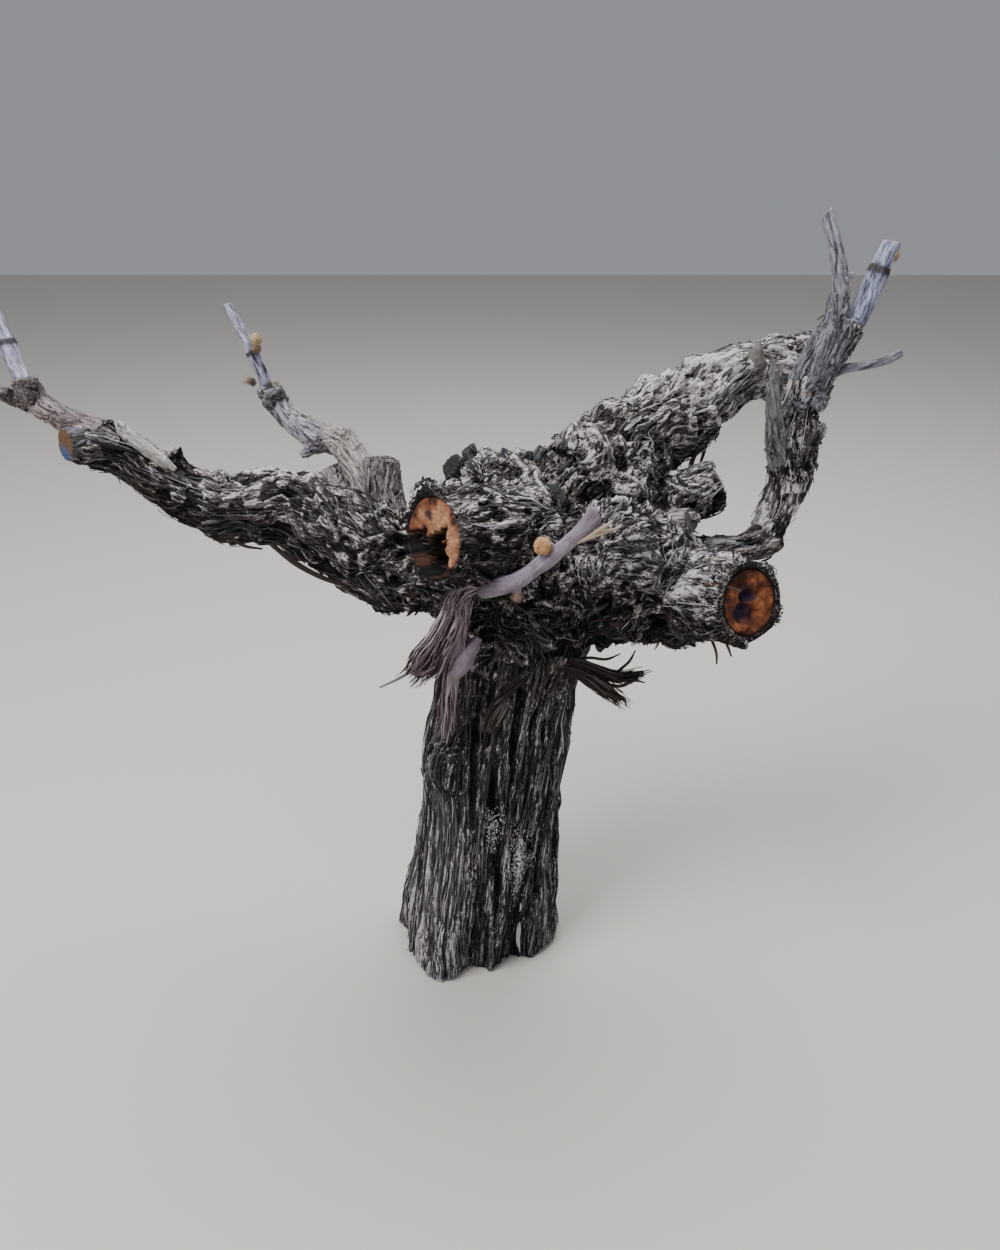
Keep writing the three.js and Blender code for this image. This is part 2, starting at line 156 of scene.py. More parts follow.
bpy.ops.mesh.primitive_plane_add(size=FLOOR_SIZE)
floor = bpy.context.object
floor.name = "floor"
material, tree, shader = new_material("pale_studio_floor")
fill(tree, shader, {"Base Color": FLOOR_COLOUR, "Roughness": FLOOR_ROUGHNESS})
floor.data.materials.append(material)
for name, place, size, power in LIGHTS:
    lamp = bpy.data.lights.new(name, "AREA")
    lamp.shape, lamp.size, lamp.energy = "DISK", size, power
    lamp_object = bpy.data.objects.new(name, lamp)
    bpy.context.scene.collection.objects.link(lamp_object)
    lamp_object.location = place
    lamp_object.rotation_euler = (AIM - Vector(place)).to_track_quat("-Z", "Y").to_euler()
world = bpy.data.worlds.new("studio")
bpy.context.scene.world = world
world.use_nodes = True
surround = world.node_tree.nodes["Background"].inputs
surround["Color"].default_value, surround["Strength"].default_value = linear(SKY_COLOUR), SKY_STRENGTH
print("lights:", [light[0] for light in LIGHTS])

# %% [markdown]
# ## The limbs' sizes
# These are the frame's own sizes, written again: each limb is a few stations, which are the bends and
# swellings of the real one, as x, y, z and radius. The old vine wears bark on its trunk, head and
# arms. Two-year spurs and one-year canes are smoother wood, and are listed after it.

# %% The limbs' sizes
TRUNK_HEIGHT = 305
TRUNK = [
    (0, 0, 0, 58), (2, 0, 35, 57), (7, 0, 85, 54), (12, 0, 140, 51),
    (18, 0, 195, 52), (25, 0, 245, 48), (34, -2, TRUNK_HEIGHT, 50),
]
ROOT_LOBES = (228, 350, 55, 110, 165)
ROOT_LOBE_SWELL, ROOT_LOBE_WIDTH, ROOT_LOBE_REACH = 0.14, 24, 85
# angle, width, depth and reach of the hollows between the roots
FOOT_HOLLOWS = [(269, 13, 0.34, 95), (304, 24, 0.3, 120)]
# count, height, width, wander, sway, phase and swell of the broad and the narrow ribs
TRUNK_RIBS = [(12, 4.6, 8.5, 9, 70, 1.7, 45), (25, 3, 4.2, 4, 50, 2.9, 36)]
RIBS_SUNK = 2
TRUNK_KNOTS = [(-10, -30, 198, 25), (48, 2, 136, 20), (54, 10, 214, 22), (-20, 28, 150, 24)]
NECK = [(25, 0, 250, 46), (34, -2, 300, 52), (44, -2, 345, 58)]
HEAD_MASSES = [
    (44, 0, 350, 74, 60, 56), (-4, -2, 356, 56, 54, 46), (108, -8, 345, 58, 56, 50),
    (32, 14, 388, 58, 42, 34), (88, 22, 402, 48, 44, 36), (104, -34, 368, 40, 34, 34),
]
BURR_COUNT, BURR_RADIUS, BURR_SUNK, BURR_SEED = 18, (10, 17), 0.75, 11
OLD_LIMBS = {
    "front_left_stub": [(46, -22, 378, 30), (10, -52, 390, 29), (-22, -78, 397, 27.5)],
    "right_front_stub": [(88, -6, 342, 34), (132, -22, 339, 33), (164, -54, 345, 30), (180, -80, 354, 27.5)],
    "left_arm": [
        (-1, 0, 350, 37), (-51, -5, 350, 33), (-96, 0, 373, 30), (-131, 8, 386, 26),
        (-158, 12, 382, 21), (-182, 12, 385, 19.5), (-202, 8, 400, 18.5), (-219, 4, 412, 16),
        (-234, 0, 429, 14.5), (-252, -5, 436, 14.5), (-262, -8, 437, 12),
    ],
    "upper_left_stub": [(-58, 8, 365, 15), (-62, 16, 392, 13), (-63, 19, 409, 12.4), (-63, 20, 419, 11)],
    "rear_arm": [
        (72, 8, 400, 36), (112, 36, 424, 33), (146, 62, 434, 29), (170, 88, 446, 25),
        (196, 108, 453, 22), (224, 126, 457, 21), (250, 140, 461, 18), (269, 150, 470, 14),
    ],
    "right_arm_lower": [
        (127, 0, 349, 17), (152, 6, 351, 13.4), (170, 9, 352, 11.6), (194, 14, 353, 11), (212, 18, 358, 12),
    ],
    "right_arm_upper": [
        (210, 17, 354, 11.5), (220, 22, 375, 11), (226, 27, 392, 13), (227, 33, 414, 16.4),
        (228, 37, 436, 14.8), (233, 40, 455, 13.4), (241, 45, 476, 13), (251, 49, 495, 13.4),
        (256, 51, 506, 11),
    ],
    "right_knob": [(112, 0, 370, 22), (136, 8, 386, 19), (158, 14, 395, 18), (172, 18, 400, 15.5)],
    "right_small_stub": [(120, -12, 374, 9), (141, -20, 387, 7), (153, -24, 394, 6)],
}
SNAGS = [
    [(-14, 18, 396, 8), (-14, 24, 412, 6)], [(48, 18, 404, 9), (50, 26, 418, 6)],
    [(-242, -3, 434, 7), (-241, 0, 452, 5.3)], [(-198, 6, 405, 10), (-205, 8, 429, 6.8)],
    [(-176, 12, 392, 8), (-176, 14, 410, 4.8)], [(206, 100, 460, 13), (208, 98, 470, 10)],
    [(244, 42, 448, 6), (252, 40, 465, 2.9)], [(228, 34, 430, 15), (236, 38, 441, 14)],
]
# place and breadth of a ring of burrs round the right arm, the number of burrs and their radius
KNOB_RING, KNOB_BURRS, KNOB_BURR_RADIUS = (227, 31, 409, 14), 11, 3.8
# how much thicker than its node a sawn stub's bark is
SLEEVE_GROW = {"front_left_stub": 1.6, "right_front_stub": 0}
LIMB_SEEDS = {
    "left_arm": 3, "upper_left_stub": 8, "front_left_stub": 10, "rear_arm": 12, "right_knob": 13,
    "right_small_stub": 14, "right_arm_lower": 15, "right_arm_upper": 16, "right_front_stub": 19,
}
LIMB_FACINGS = {
    "front_left_stub": (0, 0.2, 1), "right_front_stub": (0, 0.2, 1), "rear_arm": (0, 0, 1),
    "right_knob": (0, 0.3, 1), "upper_left_arm": (0.6, 0.2, 1), "side_shoot": (0, 0.2, 1),
    "front_shoot": (0, 0.2, 1),
}
USUAL_FACING = (0, 1, 0.2)
print("old limbs:", len(OLD_LIMBS), "snags:", len(SNAGS))

# %% [markdown]
# ## Curves through the stations
# A limb's middle line is a smooth curve through its stations, and its radius eases from one station
# to the next. The curve is a centripetal spline, which never loops or overshoots where stations lie
# at uneven distances, as they do on anything grown.

# %% Curves through the stations
def unit(vectors):
    return vectors / np.maximum(np.linalg.norm(vectors, axis=-1, keepdims=True), 1e-9)


def ease(share):
    share = np.clip(share, 0, 1)
    return share * share * (3 - 2 * share)


def spline_point(a, b, c, d, share):
    first, middle, last = (max(np.linalg.norm(q - p) ** 0.5, 1e-4) for p, q in ((a, b), (b, c), (c, d)))
    leave = ((b - a) / first - (c - a) / (first + middle) + (c - b) / middle) * middle
    arrive = ((c - b) / middle - (d - b) / (middle + last) + (d - c) / last) * middle
    cubic = 2 * b - 2 * c + leave + arrive
    square = -3 * b + 3 * c - 2 * leave - arrive
    return ((cubic * share + square) * share + leave) * share + b


def between(at, marks, rows):
    """The rows' values at places between the marks."""
    return np.stack([np.interp(at, marks, rows[:, axis]) for axis in range(rows.shape[1])], axis=-1)


def middle_line(stations, step=4):
    """Points, radii, arc lengths and tangents along a limb, about one step apart."""
    places = np.array(stations, float)[:, :3]
    radii = np.array(stations, float)[:, 3]
    padded = np.vstack([2 * places[0] - places[1], places, 2 * places[-1] - places[-2]])
    fine = np.linspace(0, len(places) - 1, 40 * (len(places) - 1) + 1)
    start = np.minimum(fine.astype(int), len(places) - 2)
    share = fine - start
    points = np.array([spline_point(*padded[i:i + 4], t) for i, t in zip(start, share)])
    thick = radii[start] + (radii[start + 1] - radii[start]) * ease(share)
    lengths = np.concatenate([[0], np.cumsum(np.linalg.norm(np.diff(points, axis=0), axis=1))])
    even = np.linspace(0, lengths[-1], max(3, round(lengths[-1] / step) + 1))
    line = between(even, lengths, points)
    return line, np.interp(even, lengths, thick), even, unit(np.gradient(line, axis=0))


print("left arm's length:", round(middle_line(OLD_LIMBS["left_arm"])[2][-1]), "mm")

# %% [markdown]
# ## Rolled bark
# Every limb starts as a flat grid, like a sheet of bark laid out on a table. It is rolled round the
# limb's middle line, its long edges are merged and its ends are filled. Rolling keeps the faces even,
# which a cylinder's fan of long thin faces would not.

# %% Rolled bark
# faces round the trunk and along it
TRUNK_GRID = (144, 76)
TRUNK_RIPPLE = 0.035
# from each burr to the next the spiral turns by the golden angle
GOLDEN_TURN = 2 * math.pi * 0.381966


def rows_of(items, what):
    """Rows of three numbers, read from a mesh's points or normals."""
    values = np.zeros(len(items) * 3, np.float32)
    items.foreach_get(what, values)
    return values.reshape(-1, 3).astype(float)


def points_of(piece, size=MM):
    return rows_of(piece.data.vertices, "co") / size


def normals_of(piece):
    return rows_of(piece.data.vertex_normals, "vector")


def set_points(piece, points):
    """Moves a piece's points to places in millimetres."""
    piece.data.vertices.foreach_set("co", (points * MM).ravel())
    piece.data.update()


def finish_edit(*steps):
    """Runs edit-mode steps on all of the active object's mesh."""
    bpy.ops.object.mode_set(mode="EDIT")
    bpy.ops.mesh.select_all(action="SELECT")
    for step in steps:
        step()
    bpy.ops.object.mode_set(mode="OBJECT")


def close_ends():
    bpy.ops.mesh.remove_doubles(threshold=1e-6)
    bpy.ops.mesh.select_all(action="DESELECT")
    bpy.ops.mesh.select_non_manifold()
    bpy.ops.mesh.fill_holes(sides=0)
    bpy.ops.mesh.select_all(action="SELECT")
    bpy.ops.mesh.normals_make_consistent(inside=False)


def rolled(name, around, along, place):
    """A closed tube. place turns shares round and along it into points in millimetres."""
    bpy.ops.mesh.primitive_grid_add(x_subdivisions=around, y_subdivisions=along, size=1)
    tube = bpy.context.object
    tube.name = tube.data.name = name
    flat = points_of(tube, 1)
    set_points(tube, place(np.round(flat[:, 0] + 0.5, 6) % 1, flat[:, 1] + 0.5))
    finish_edit(close_ends)
    return tube


def ripple(angle, along, seed):
    """Old bark swells and sinks in long low waves round a limb, which drift along it."""
    drift = along / 60
    return (0.4 * np.sin(2 * angle + drift + seed) + 0.35 * np.sin(3 * angle - 1.4 * drift + 2 * seed)
            + 0.25 * np.sin(5 * angle + 0.8 * drift + 3 * seed))


def limb(name, stations, rough=0.07, around=40, seed=1, facing=USUAL_FACING, step=4, grow=0):
    """A tapering limb through its stations. grow makes it thicker all round."""
    line, radii, lengths, tangents = middle_line(stations, step)

    def place(turn, share):
        along = share * lengths[-1]
        centre = between(along, lengths, line)
        tangent = unit(between(along, lengths, tangents))
        side = unit(np.cross(tangent, unit(np.array(facing, float))))
        front = unit(np.cross(side, tangent))
        angle = turn * 2 * np.pi
        radius = np.interp(along, lengths, radii) * (1 + rough * ripple(angle, along, seed)) + grow
        return centre + (side * np.cos(angle)[:, None] + front * np.sin(angle)[:, None]) * radius[:, None]

    return rolled(name, around, len(line) - 1, place)


def apart(degrees, other):
    """How many degrees lie between two headings round the trunk."""
    gap = np.abs(degrees - other) % 360
    return np.minimum(gap, 360 - gap)


def hollow_at(degrees, height):
    """How far the foot sinks between its roots, as a share of the trunk's radius."""
    return np.max([depth * np.exp(-((apart(degrees, middle) / width) ** 2) - height / reach)
                   for middle, width, depth, reach in FOOT_HOLLOWS], axis=0)


def trunk_place(turn, share):
    """The trunk has level rings, so that it stands on one flat cut, roots that flare, and long ribs."""
    line, radii, lengths, _ = middle_line(TRUNK)
    along = share * lengths[-1]
    centre = between(along, lengths, line)
    angle = turn * 2 * np.pi
    degrees, height = np.degrees(angle), centre[:, 2]
    lobes = np.exp(-np.min([apart(degrees, lobe) / ROOT_LOBE_WIDTH for lobe in ROOT_LOBES], axis=0) ** 2)
    flare = ROOT_LOBE_SWELL * np.exp(-height / ROOT_LOBE_REACH) * lobes - hollow_at(degrees, height)
    growth = 1 + TRUNK_RIPPLE * ripple(angle, height, 4) + flare
    radius = np.interp(along, lengths, radii) * growth - RIBS_SUNK
    for count, rise, width, wander, sway, phase, swell in TRUNK_RIBS:
        for i in range(count):
            middle = i * 360 / count + wander * np.sin(height / sway + phase * i)
            share = 0.7 + 0.3 * np.sin(2.4 * i + height / swell)
            radius += rise * share * np.exp(-((apart(degrees, middle) / width) ** 2))
    around = np.stack([np.cos(angle), np.sin(angle)], axis=1)
    return np.column_stack([centre[:, :2] + radius[:, None] * around, height])


def round_mass(x, y, z, width, depth=None, height=None):
    bpy.ops.mesh.primitive_uv_sphere_add(segments=32, ring_count=20, location=Vector((x, y, z)) * MM)
    bpy.context.object.scale = Vector((width, depth or width, height or width)) * MM
    bpy.ops.object.transform_apply(location=True, rotation=True, scale=True)
    return bpy.context.object


def head_burrs():
    """Burrs sit round the head's masses in turn, on a spiral from the bottom of each to its top."""
    state, burrs = BURR_SEED, []
    for i in range(BURR_COUNT):
        state = (state * 1664525 + 1013904223) % 2 ** 32
        radius = BURR_RADIUS[0] + (BURR_RADIUS[1] - BURR_RADIUS[0]) * state / 2 ** 32
        x, y, z, width, depth, height = HEAD_MASSES[i % len(HEAD_MASSES)]
        rise = 1.7 * (i + 0.5) / BURR_COUNT - 0.8
        ring, turn, sunk = math.sqrt(1 - rise * rise), i * GOLDEN_TURN, radius * BURR_SUNK
        burrs.append((x + ring * math.cos(turn) * (width - sunk), y + ring * math.sin(turn) * (depth - sunk),
                      z + rise * (height - sunk), radius))
    return burrs


trunk_line = middle_line(TRUNK)
shapes = [rolled("trunk_shape", *TRUNK_GRID, trunk_place), limb("neck_shape", NECK, seed=5)]
shapes += [round_mass(*one) for one in HEAD_MASSES + TRUNK_KNOTS + head_burrs()]
for name, stations in OLD_LIMBS.items():
    shapes.append(limb(name + "_shape", stations, seed=LIMB_SEEDS[name],
                       facing=LIMB_FACINGS.get(name, USUAL_FACING), grow=SLEEVE_GROW.get(name, 0)))
shapes += [limb("snag_shape", stations, around=24) for stations in SNAGS]
for i in range(KNOB_BURRS):
    x, y, z, reach = KNOB_RING
    turn = i * 2 * math.pi / KNOB_BURRS
    shapes.append(round_mass(x + reach * math.cos(turn), y + reach * math.sin(turn), z + 3 * math.sin(2 * i),
                             KNOB_BURR_RADIUS))
print("shapes under the bark:", len(shapes))

# %% [markdown]
# ## Sawn sockets
# The two thick stubs at the front were sawn off years ago. The wood inside has dried, cracked and
# darkened, and the bark stands round it as a sleeve. Each sleeve gets a round socket, cut by a
# Boolean, and a core of wood is turned for it further on.

# %% Sawn sockets
# thickness of the bark round each core of wood
CORE_BARK = {"front_left_stub": 1.4, "right_front_stub": 6}
CORE_DEPTH = 26


def end_frame(stations):
    """The middle of a limb's end, the way it looks, and its radius."""
    line, radii, _, _ = middle_line(stations)
    axis = unit(np.array(stations[-1][:3], float) - np.array(stations[-2][:3], float))
    return line[-1], axis, radii[-1]


def cut_socket(sleeve, stations, bark):
    tip, axis, radius = end_frame(stations)
    bpy.ops.mesh.primitive_cylinder_add(vertices=48, radius=(radius - bark) * MM, depth=2 * CORE_DEPTH * MM,
                                        location=Vector(tip) * MM,
                                        rotation=Vector(axis).to_track_quat("Z", "Y").to_euler())
    cutter = bpy.context.object
    cut = sleeve.modifiers.new("socket", "BOOLEAN")
    cut.operation, cut.object, cut.solver = "DIFFERENCE", cutter, "EXACT"
    bpy.context.view_layer.objects.active = sleeve
    bpy.ops.object.modifier_apply(modifier=cut.name)
    bpy.data.objects.remove(cutter)


for name, bark in CORE_BARK.items():
    cut_socket(bpy.data.objects[name + "_shape"], OLD_LIMBS[name], bark)
print("sockets cut, about", CORE_DEPTH, "mm deep")

# %% [markdown]
# ## One body of old wood
# Real limbs have no seams: bark runs on from the trunk over the head and out along the arms. So the
# shapes are joined and remeshed into one skin of small even squares, and the creases where limbs
# meet are relaxed. Only after the bark has been raised is the skin parted into named pieces.

# %% One body of old wood
BODY_VOXEL = 1.24
SOFTEN_STEPS = 12


def select_only(*objects):
    bpy.ops.object.select_all(action="DESELECT")
    for one in objects:
        one.select_set(True)
    bpy.context.view_layer.objects.active = objects[0]


def remeshed(objects, name, voxel, soften):
    """Joins shapes and gives them one closed skin of even squares."""
    select_only(*objects)
    if len(objects) > 1:
        bpy.ops.object.join()
    skin = bpy.context.object
    skin.name = skin.data.name = name
    grid = skin.modifiers.new("skin", "REMESH")
    grid.mode, grid.voxel_size = "VOXEL", voxel * MM
    bpy.ops.object.modifier_apply(modifier=grid.name)
    if soften:
        relax = skin.modifiers.new("relax", "SMOOTH")
        relax.factor, relax.iterations = 0.5, soften
        bpy.ops.object.modifier_apply(modifier=relax.name)
    return skin


old_wood = remeshed(shapes, "old_wood", BODY_VOXEL, SOFTEN_STEPS)
print("old wood:", len(old_wood.data.vertices), "points")

# %% [markdown]
# ## Grain
# Bark tears along the grain, so everything that is laid on it follows one field of directions. Near a
# limb the grain runs along it, between two limbs it blends, on the head it wanders, and at a knot it
# parts and flows round. Streaks come from noise that is averaged along the grain, the way a brush
# drags wet paint: short drags give crumpled flakes, and long drags give the trunk's fibres.

# %% Grain
LATTICE = 64
# heights where the head begins and the trunk ends, and how long each takes to do so
HEAD_FROM, HEAD_BLEND, TRUNK_TO, TRUNK_BLEND = 272, 26, 296, 30
# how far the grain strays on the arms, and how much more on the head and above the trunk
GRAIN_WANDER, HEAD_WANDER, TOP_WANDER = 0.12, 0.95, 0.22
# how much a strand's pattern is drawn out along its limb
STRETCH = 7
lattice = np.random.default_rng(7).standard_normal(LATTICE ** 3).astype(np.float32)


def noise(points, seed=0):
    """Smooth random values, one lattice cell to each unit of length."""
    moved = points + seed * 17.31
    cell = np.floor(moved).astype(np.int64)
    share = ease(moved - cell)
    low, high = cell % LATTICE, (cell + 1) % LATTICE
    total = 0
    for corner in range(8):
        picks = [(corner >> axis) & 1 for axis in range(3)]
        index = [high[:, a] if picks[a] else low[:, a] for a in range(3)]
        weight = np.prod([share[:, a] if picks[a] else 1 - share[:, a] for a in range(3)], axis=0)
        total = total + weight * lattice[(index[0] * LATTICE + index[1]) * LATTICE + index[2]]
    return total


def streaks(points, grain, cell, reach, seed):
    """Noise of one cell size, dragged along the grain by a reach to each side. Its spread is about 1."""
    taps = max(3, int(2 * reach / (0.8 * cell)) | 1)
    shares = np.linspace(-1, 1, taps)
    weights = np.cos(shares * np.pi / 2.3)
    total = sum(w * noise((points + grain * reach * t) / cell, seed) for t, w in zip(shares, weights))
    return total / max(total.std(), 1e-6)


def limb_weights(points, lines):
    """How much each line's grain counts at each point, and each line's direction there."""
    weights, directions, along = [], [], []
    for line, radii, lengths, tangents in lines:
        squared = (points ** 2).sum(1)[:, None] + (line ** 2).sum(1)[None] - 2 * points @ line.T
        near = squared.argmin(1)
        offset = ((points - line[near]) * tangents[near]).sum(1)
        foot = line[near] + tangents[near] * np.clip(offset, -4, 4)[:, None]
        gap = np.linalg.norm(points - foot, axis=1)
        weights.append(np.maximum((gap - radii[near]) / radii[near] + 0.2, 0.08) ** -4)
        directions.append(tangents[near])
        along.append(lengths[near] + offset)
    return np.array(weights), np.array(directions), np.array(along)


def grain_at(points, normals, lines, knots=(), wander=0.0, wander_cell=26):
    """Unit directions of the grain in the surface. wander turns them, in radians, by slow noise."""
    weights, directions, along = limb_weights(points, lines)
    field = (directions * weights[:, :, None]).sum(0)
    for x, y, z, radius in knots:
        offset = points - np.array([x, y, z])
        gap = np.linalg.norm(offset, axis=1)
        outward = offset / gap[:, None]
        inward = (unit(field) * outward).sum(1) * np.exp(-((gap / (1.3 * radius)) ** 2))
        field -= outward * inward[:, None] * np.linalg.norm(field, axis=1)[:, None]
    field = unit(field - normals * (field * normals).sum(1)[:, None])
    turn = wander * (noise(points / wander_cell, 3) + 0.6 * noise(points / (0.42 * wander_cell), 4))
    across = np.cross(normals, field)
    return unit(field * np.cos(turn)[:, None] + across * np.sin(turn)[:, None]), weights, along


def far(points, middle, sizes):
    """How far points lie from a middle: the square of the distance, in half sizes."""
    return (((points - np.array(middle)) / np.array(sizes)) ** 2).sum(1)


def strand_places(points, own, lines, facings):
    """Where each point lies beside, before and along its own limb. The last is pressed together, so
    that a pattern which is even here is drawn out along the limb."""
    places = np.zeros((len(points), 3))
    for number, ((line, _, lengths, tangents), facing) in enumerate(zip(lines, facings)):
        mine = np.flatnonzero(own == number)
        if not len(mine):
            continue
        squared = (line ** 2).sum(1)[None] - 2 * points[mine] @ line.T
        near = squared.argmin(1)
        along = lengths[near] + ((points[mine] - line[near]) * tangents[near]).sum(1)
        at = np.clip(along, 0, lengths[-1])
        side = unit(np.cross(tangents, unit(np.array(facing, float))))
        offset = points[mine] - between(at, lengths, line)
        beside = (offset * between(at, lengths, side)).sum(1)
        before = (offset * between(at, lengths, np.cross(side, tangents))).sum(1)
        places[mine] = np.stack([beside, before, along / STRETCH], axis=1) + 40 * number
    return places


body_points, smooth_normals = points_of(old_wood), normals_of(old_wood)
limb_names = ["trunk"] + list(OLD_LIMBS)
limb_lines = [trunk_line] + [middle_line(stations) for stations in OLD_LIMBS.values()]
KNOTS = TRUNK_KNOTS[1:] + head_burrs() + [
    (-128, -18, 384, 13), (-100, -26, 372, 12), (-64, -34, 352, 12), (-205, -8, 400, 9),
    (134, -48, 352, 11), (92, -62, 372, 12), (20, -52, 388, 10), (150, 40, 440, 14),
]
on_head = ease((1.5 - np.min([np.sqrt(far(body_points, m[:3], m[3:])) for m in HEAD_MASSES], axis=0)) / 0.35)
on_head *= ease((body_points[:, 2] - HEAD_FROM) / HEAD_BLEND)
on_trunk = ease((TRUNK_TO - body_points[:, 2]) / TRUNK_BLEND)
on_arm = np.clip(1 - on_trunk - on_head, 0, 1)
grain, weights, along = grain_at(body_points, smooth_normals, limb_lines, KNOTS,
                                 GRAIN_WANDER + HEAD_WANDER * on_head + TOP_WANDER * (1 - on_trunk))
_, (trunk_flow,), _ = limb_weights(body_points, [trunk_line])
flow = unit(grain * (1 - on_trunk)[:, None] + trunk_flow * on_trunk[:, None])
own = weights.argmax(0)
print("grain laid at", len(grain), "points")

# %% [markdown]
# ## Bark relief
# The trunk's bark is a bundle of long strips with deep dark gaps. The arms' is shorter and knottier,
# and the head's is crumpled into curls and burrs. The relief is added in three sizes: broad strips,
# narrow strips and the grain of each strip. Each is the distance of the dragged noise from zero, so
# the gaps are sharp and the strips are round, as they are where bark splits.

# %% Bark relief
def strips(values, sharp=0.62):
    """Round strips with sharp gaps between them, from 0 in a gap to about 1.3 on a strip."""
    return np.abs(values) ** sharp


def relief_of(points, direction, layers, seed):
    """Adds up layers of (height, cell, reach) in millimetres, with some strips proud of others."""
    height = np.zeros(len(points))
    for i, (depth, cell, reach) in enumerate(layers):
        rise = streaks(points, direction, cell, reach, seed + 2 * i)
        step = np.tanh(2.5 * streaks(points, direction, 1.7 * cell, reach, seed + 2 * i + 1))
        height += depth * (0.75 * strips(rise) + 0.35 * step - 0.55)
    return height


TRUNK_LAYERS = [(2.0, 6.0, 70), (1.6, 3.0, 44), (1.1, 1.8, 26)]
ARM_LAYERS = [(1.9, 7.0, 28), (1.6, 3.3, 18), (1.2, 1.9, 10)]
HEAD_LAYERS = [(2.3, 7.0, 15), (2.3, 3.4, 10), (1.6, 1.9, 6)]
# the low swell under the layers, on the trunk and how much more above it, and its cell
TRUNK_SWELL, TOP_SWELL, SWELL_CELL = 0.8, 2.6, 17
# the limb's radius from which the relief is whole, and the least share of it on a thin limb
FULL_RADIUS, LEAST_RELIEF = 24, 0.45
# hollows where old bark has crumbled away; further on they are also darkened as painted shade
HOLLOW_DEPTH, HOLLOW_CELL = 2.6, 10
# bark that stays round a sawn core at least, and the height in which the foot's relief fades in
BARK_LEFT, FOOT_FADE = 1.3, 6
# place, radius and depth of dead spurs' sockets
SOCKETS = [
    ((101, -25, 397), 8, 9), ((119, -58, 348), 9, 7), ((-122, -10, 401), 5, 4), ((-40, -30, 365), 7, 5),
    ((150, 86, 470), 7, 4), ((60, 48, 380), 9, 6), ((-112, 2, 388), 6, 3), ((-84, -24, 372), 7, 3),
]
# middle and half sizes of places that a smoother piece of wood covers
COVERED_PLACES = [
    ((242, 45, 482), (15, 17, 26)), ((-62, 17, 404), (17, 17, 20)), ((210, 14, 432), (9, 9, 26)),
    ((143, -22, 388), (14, 12, 12)),
]
# both ends, width and depth of the long gaps where bark has split away, also darkened as painted shade
CREVICES = [
    ((14, -50, 215), (18, -56, 50), 4, 7), ((54, -38, 235), (57, -44, 70), 3, 6),
    ((2, -48, 240), (-2, -54, 150), 3, 5), ((34, -46, 270), (30, -50, 190), 3, 5),
    ((-8, -44, 232), (6, -46, 226), 6, 6),
]
height = np.zeros(len(body_points))
layered = [(on_trunk, TRUNK_LAYERS, 20), (on_arm, ARM_LAYERS, 40), (on_head, HEAD_LAYERS, 60)]
for share, layers, seed in layered:
    here = share > 0.001
    height[here] += share[here] * relief_of(body_points[here], flow[here], layers, seed)
height += (TOP_SWELL * (1 - on_trunk) + TRUNK_SWELL) * noise(body_points / SWELL_CELL, 5)
hollows = ease((-noise(body_points / HOLLOW_CELL, 77) - 0.1) / 0.28) * (1 - on_trunk)
height -= HOLLOW_DEPTH * hollows
thickness = np.array([np.interp(a, line[2], line[1]) for a, line in zip(along, limb_lines)])
height *= np.clip(thickness[own, np.arange(len(own))] / FULL_RADIUS, LEAST_RELIEF, 1)


def skin_path(first, last, steps=50):
    """The skin's points under a straight line from one place to another."""
    return np.array([body_points[((body_points - place) ** 2).sum(1).argmin()]
                     for place in np.linspace(first, last, steps)])


crevice = np.zeros(len(body_points))
for first, last, width, depth in CREVICES:
    path = skin_path(first, last)
    reach = np.linalg.norm(path[-1] - path[0])
    near = np.flatnonzero(np.linalg.norm(body_points - path.mean(0), axis=1) < reach)
    gap = np.sqrt(((body_points[near, None] - path[None]) ** 2).sum(2).min(1))
    dip = np.exp(-((gap / width) ** 2))
    crevice[near] = np.maximum(crevice[near], dip)
    height[near] -= depth * dip
for middle, radius, depth in SOCKETS:
    centre = body_points[((body_points - np.array(middle)) ** 2).sum(1).argmin()]
    gap = np.linalg.norm(body_points - centre, axis=1) / radius
    height += 0.35 * depth * np.exp(-(((gap - 1.15) / 0.4) ** 2)) - depth * np.exp(-(gap / 0.75) ** 4)
covered = np.exp(-np.min([far(body_points, middle, sizes) for middle, sizes in COVERED_PLACES], axis=0) ** 2)
height = height * (1 - 0.75 * covered) - 1.6 * covered


def push_out(points, normals, height, ends):
    """Moves points out by the relief. A sawn end stays flat, its bark stays whole and the foot stays
    level."""
    moved = normals * height[:, None]
    for tip, axis, radius, sleeve in ends:
        depth = (tip - points) @ axis
        aside = np.linalg.norm(points - tip - np.outer((points - tip) @ axis, axis), axis=1)
        near = (1 - ease(depth / 7)) * (aside < radius * 1.5) * (depth > -6)
        moved -= np.outer((moved @ axis) * near, axis)
        around = (aside < radius * 1.5) * (depth < CORE_DEPTH + 3) * (depth > -6)
        inside = around * (aside < radius - 0.6)
        moved -= normals * (np.minimum(height + sleeve - BARK_LEFT, 0) * around)[:, None]
        moved *= ((1 - 0.6 * near) * (1 - inside))[:, None]
    moved[:, 2] *= ease(points[:, 2] / FOOT_FADE)
    result = points + moved
    result[:, 2] = np.maximum(result[:, 2], 0)
    return result


sawn_ends = [(*end_frame(OLD_LIMBS[name]), bark + SLEEVE_GROW[name]) for name, bark in CORE_BARK.items()]
barked = push_out(body_points, smooth_normals, height, sawn_ends)
set_points(old_wood, barked)
print("relief from", round(height.min(), 1), "to", round(height.max(), 1), "mm")
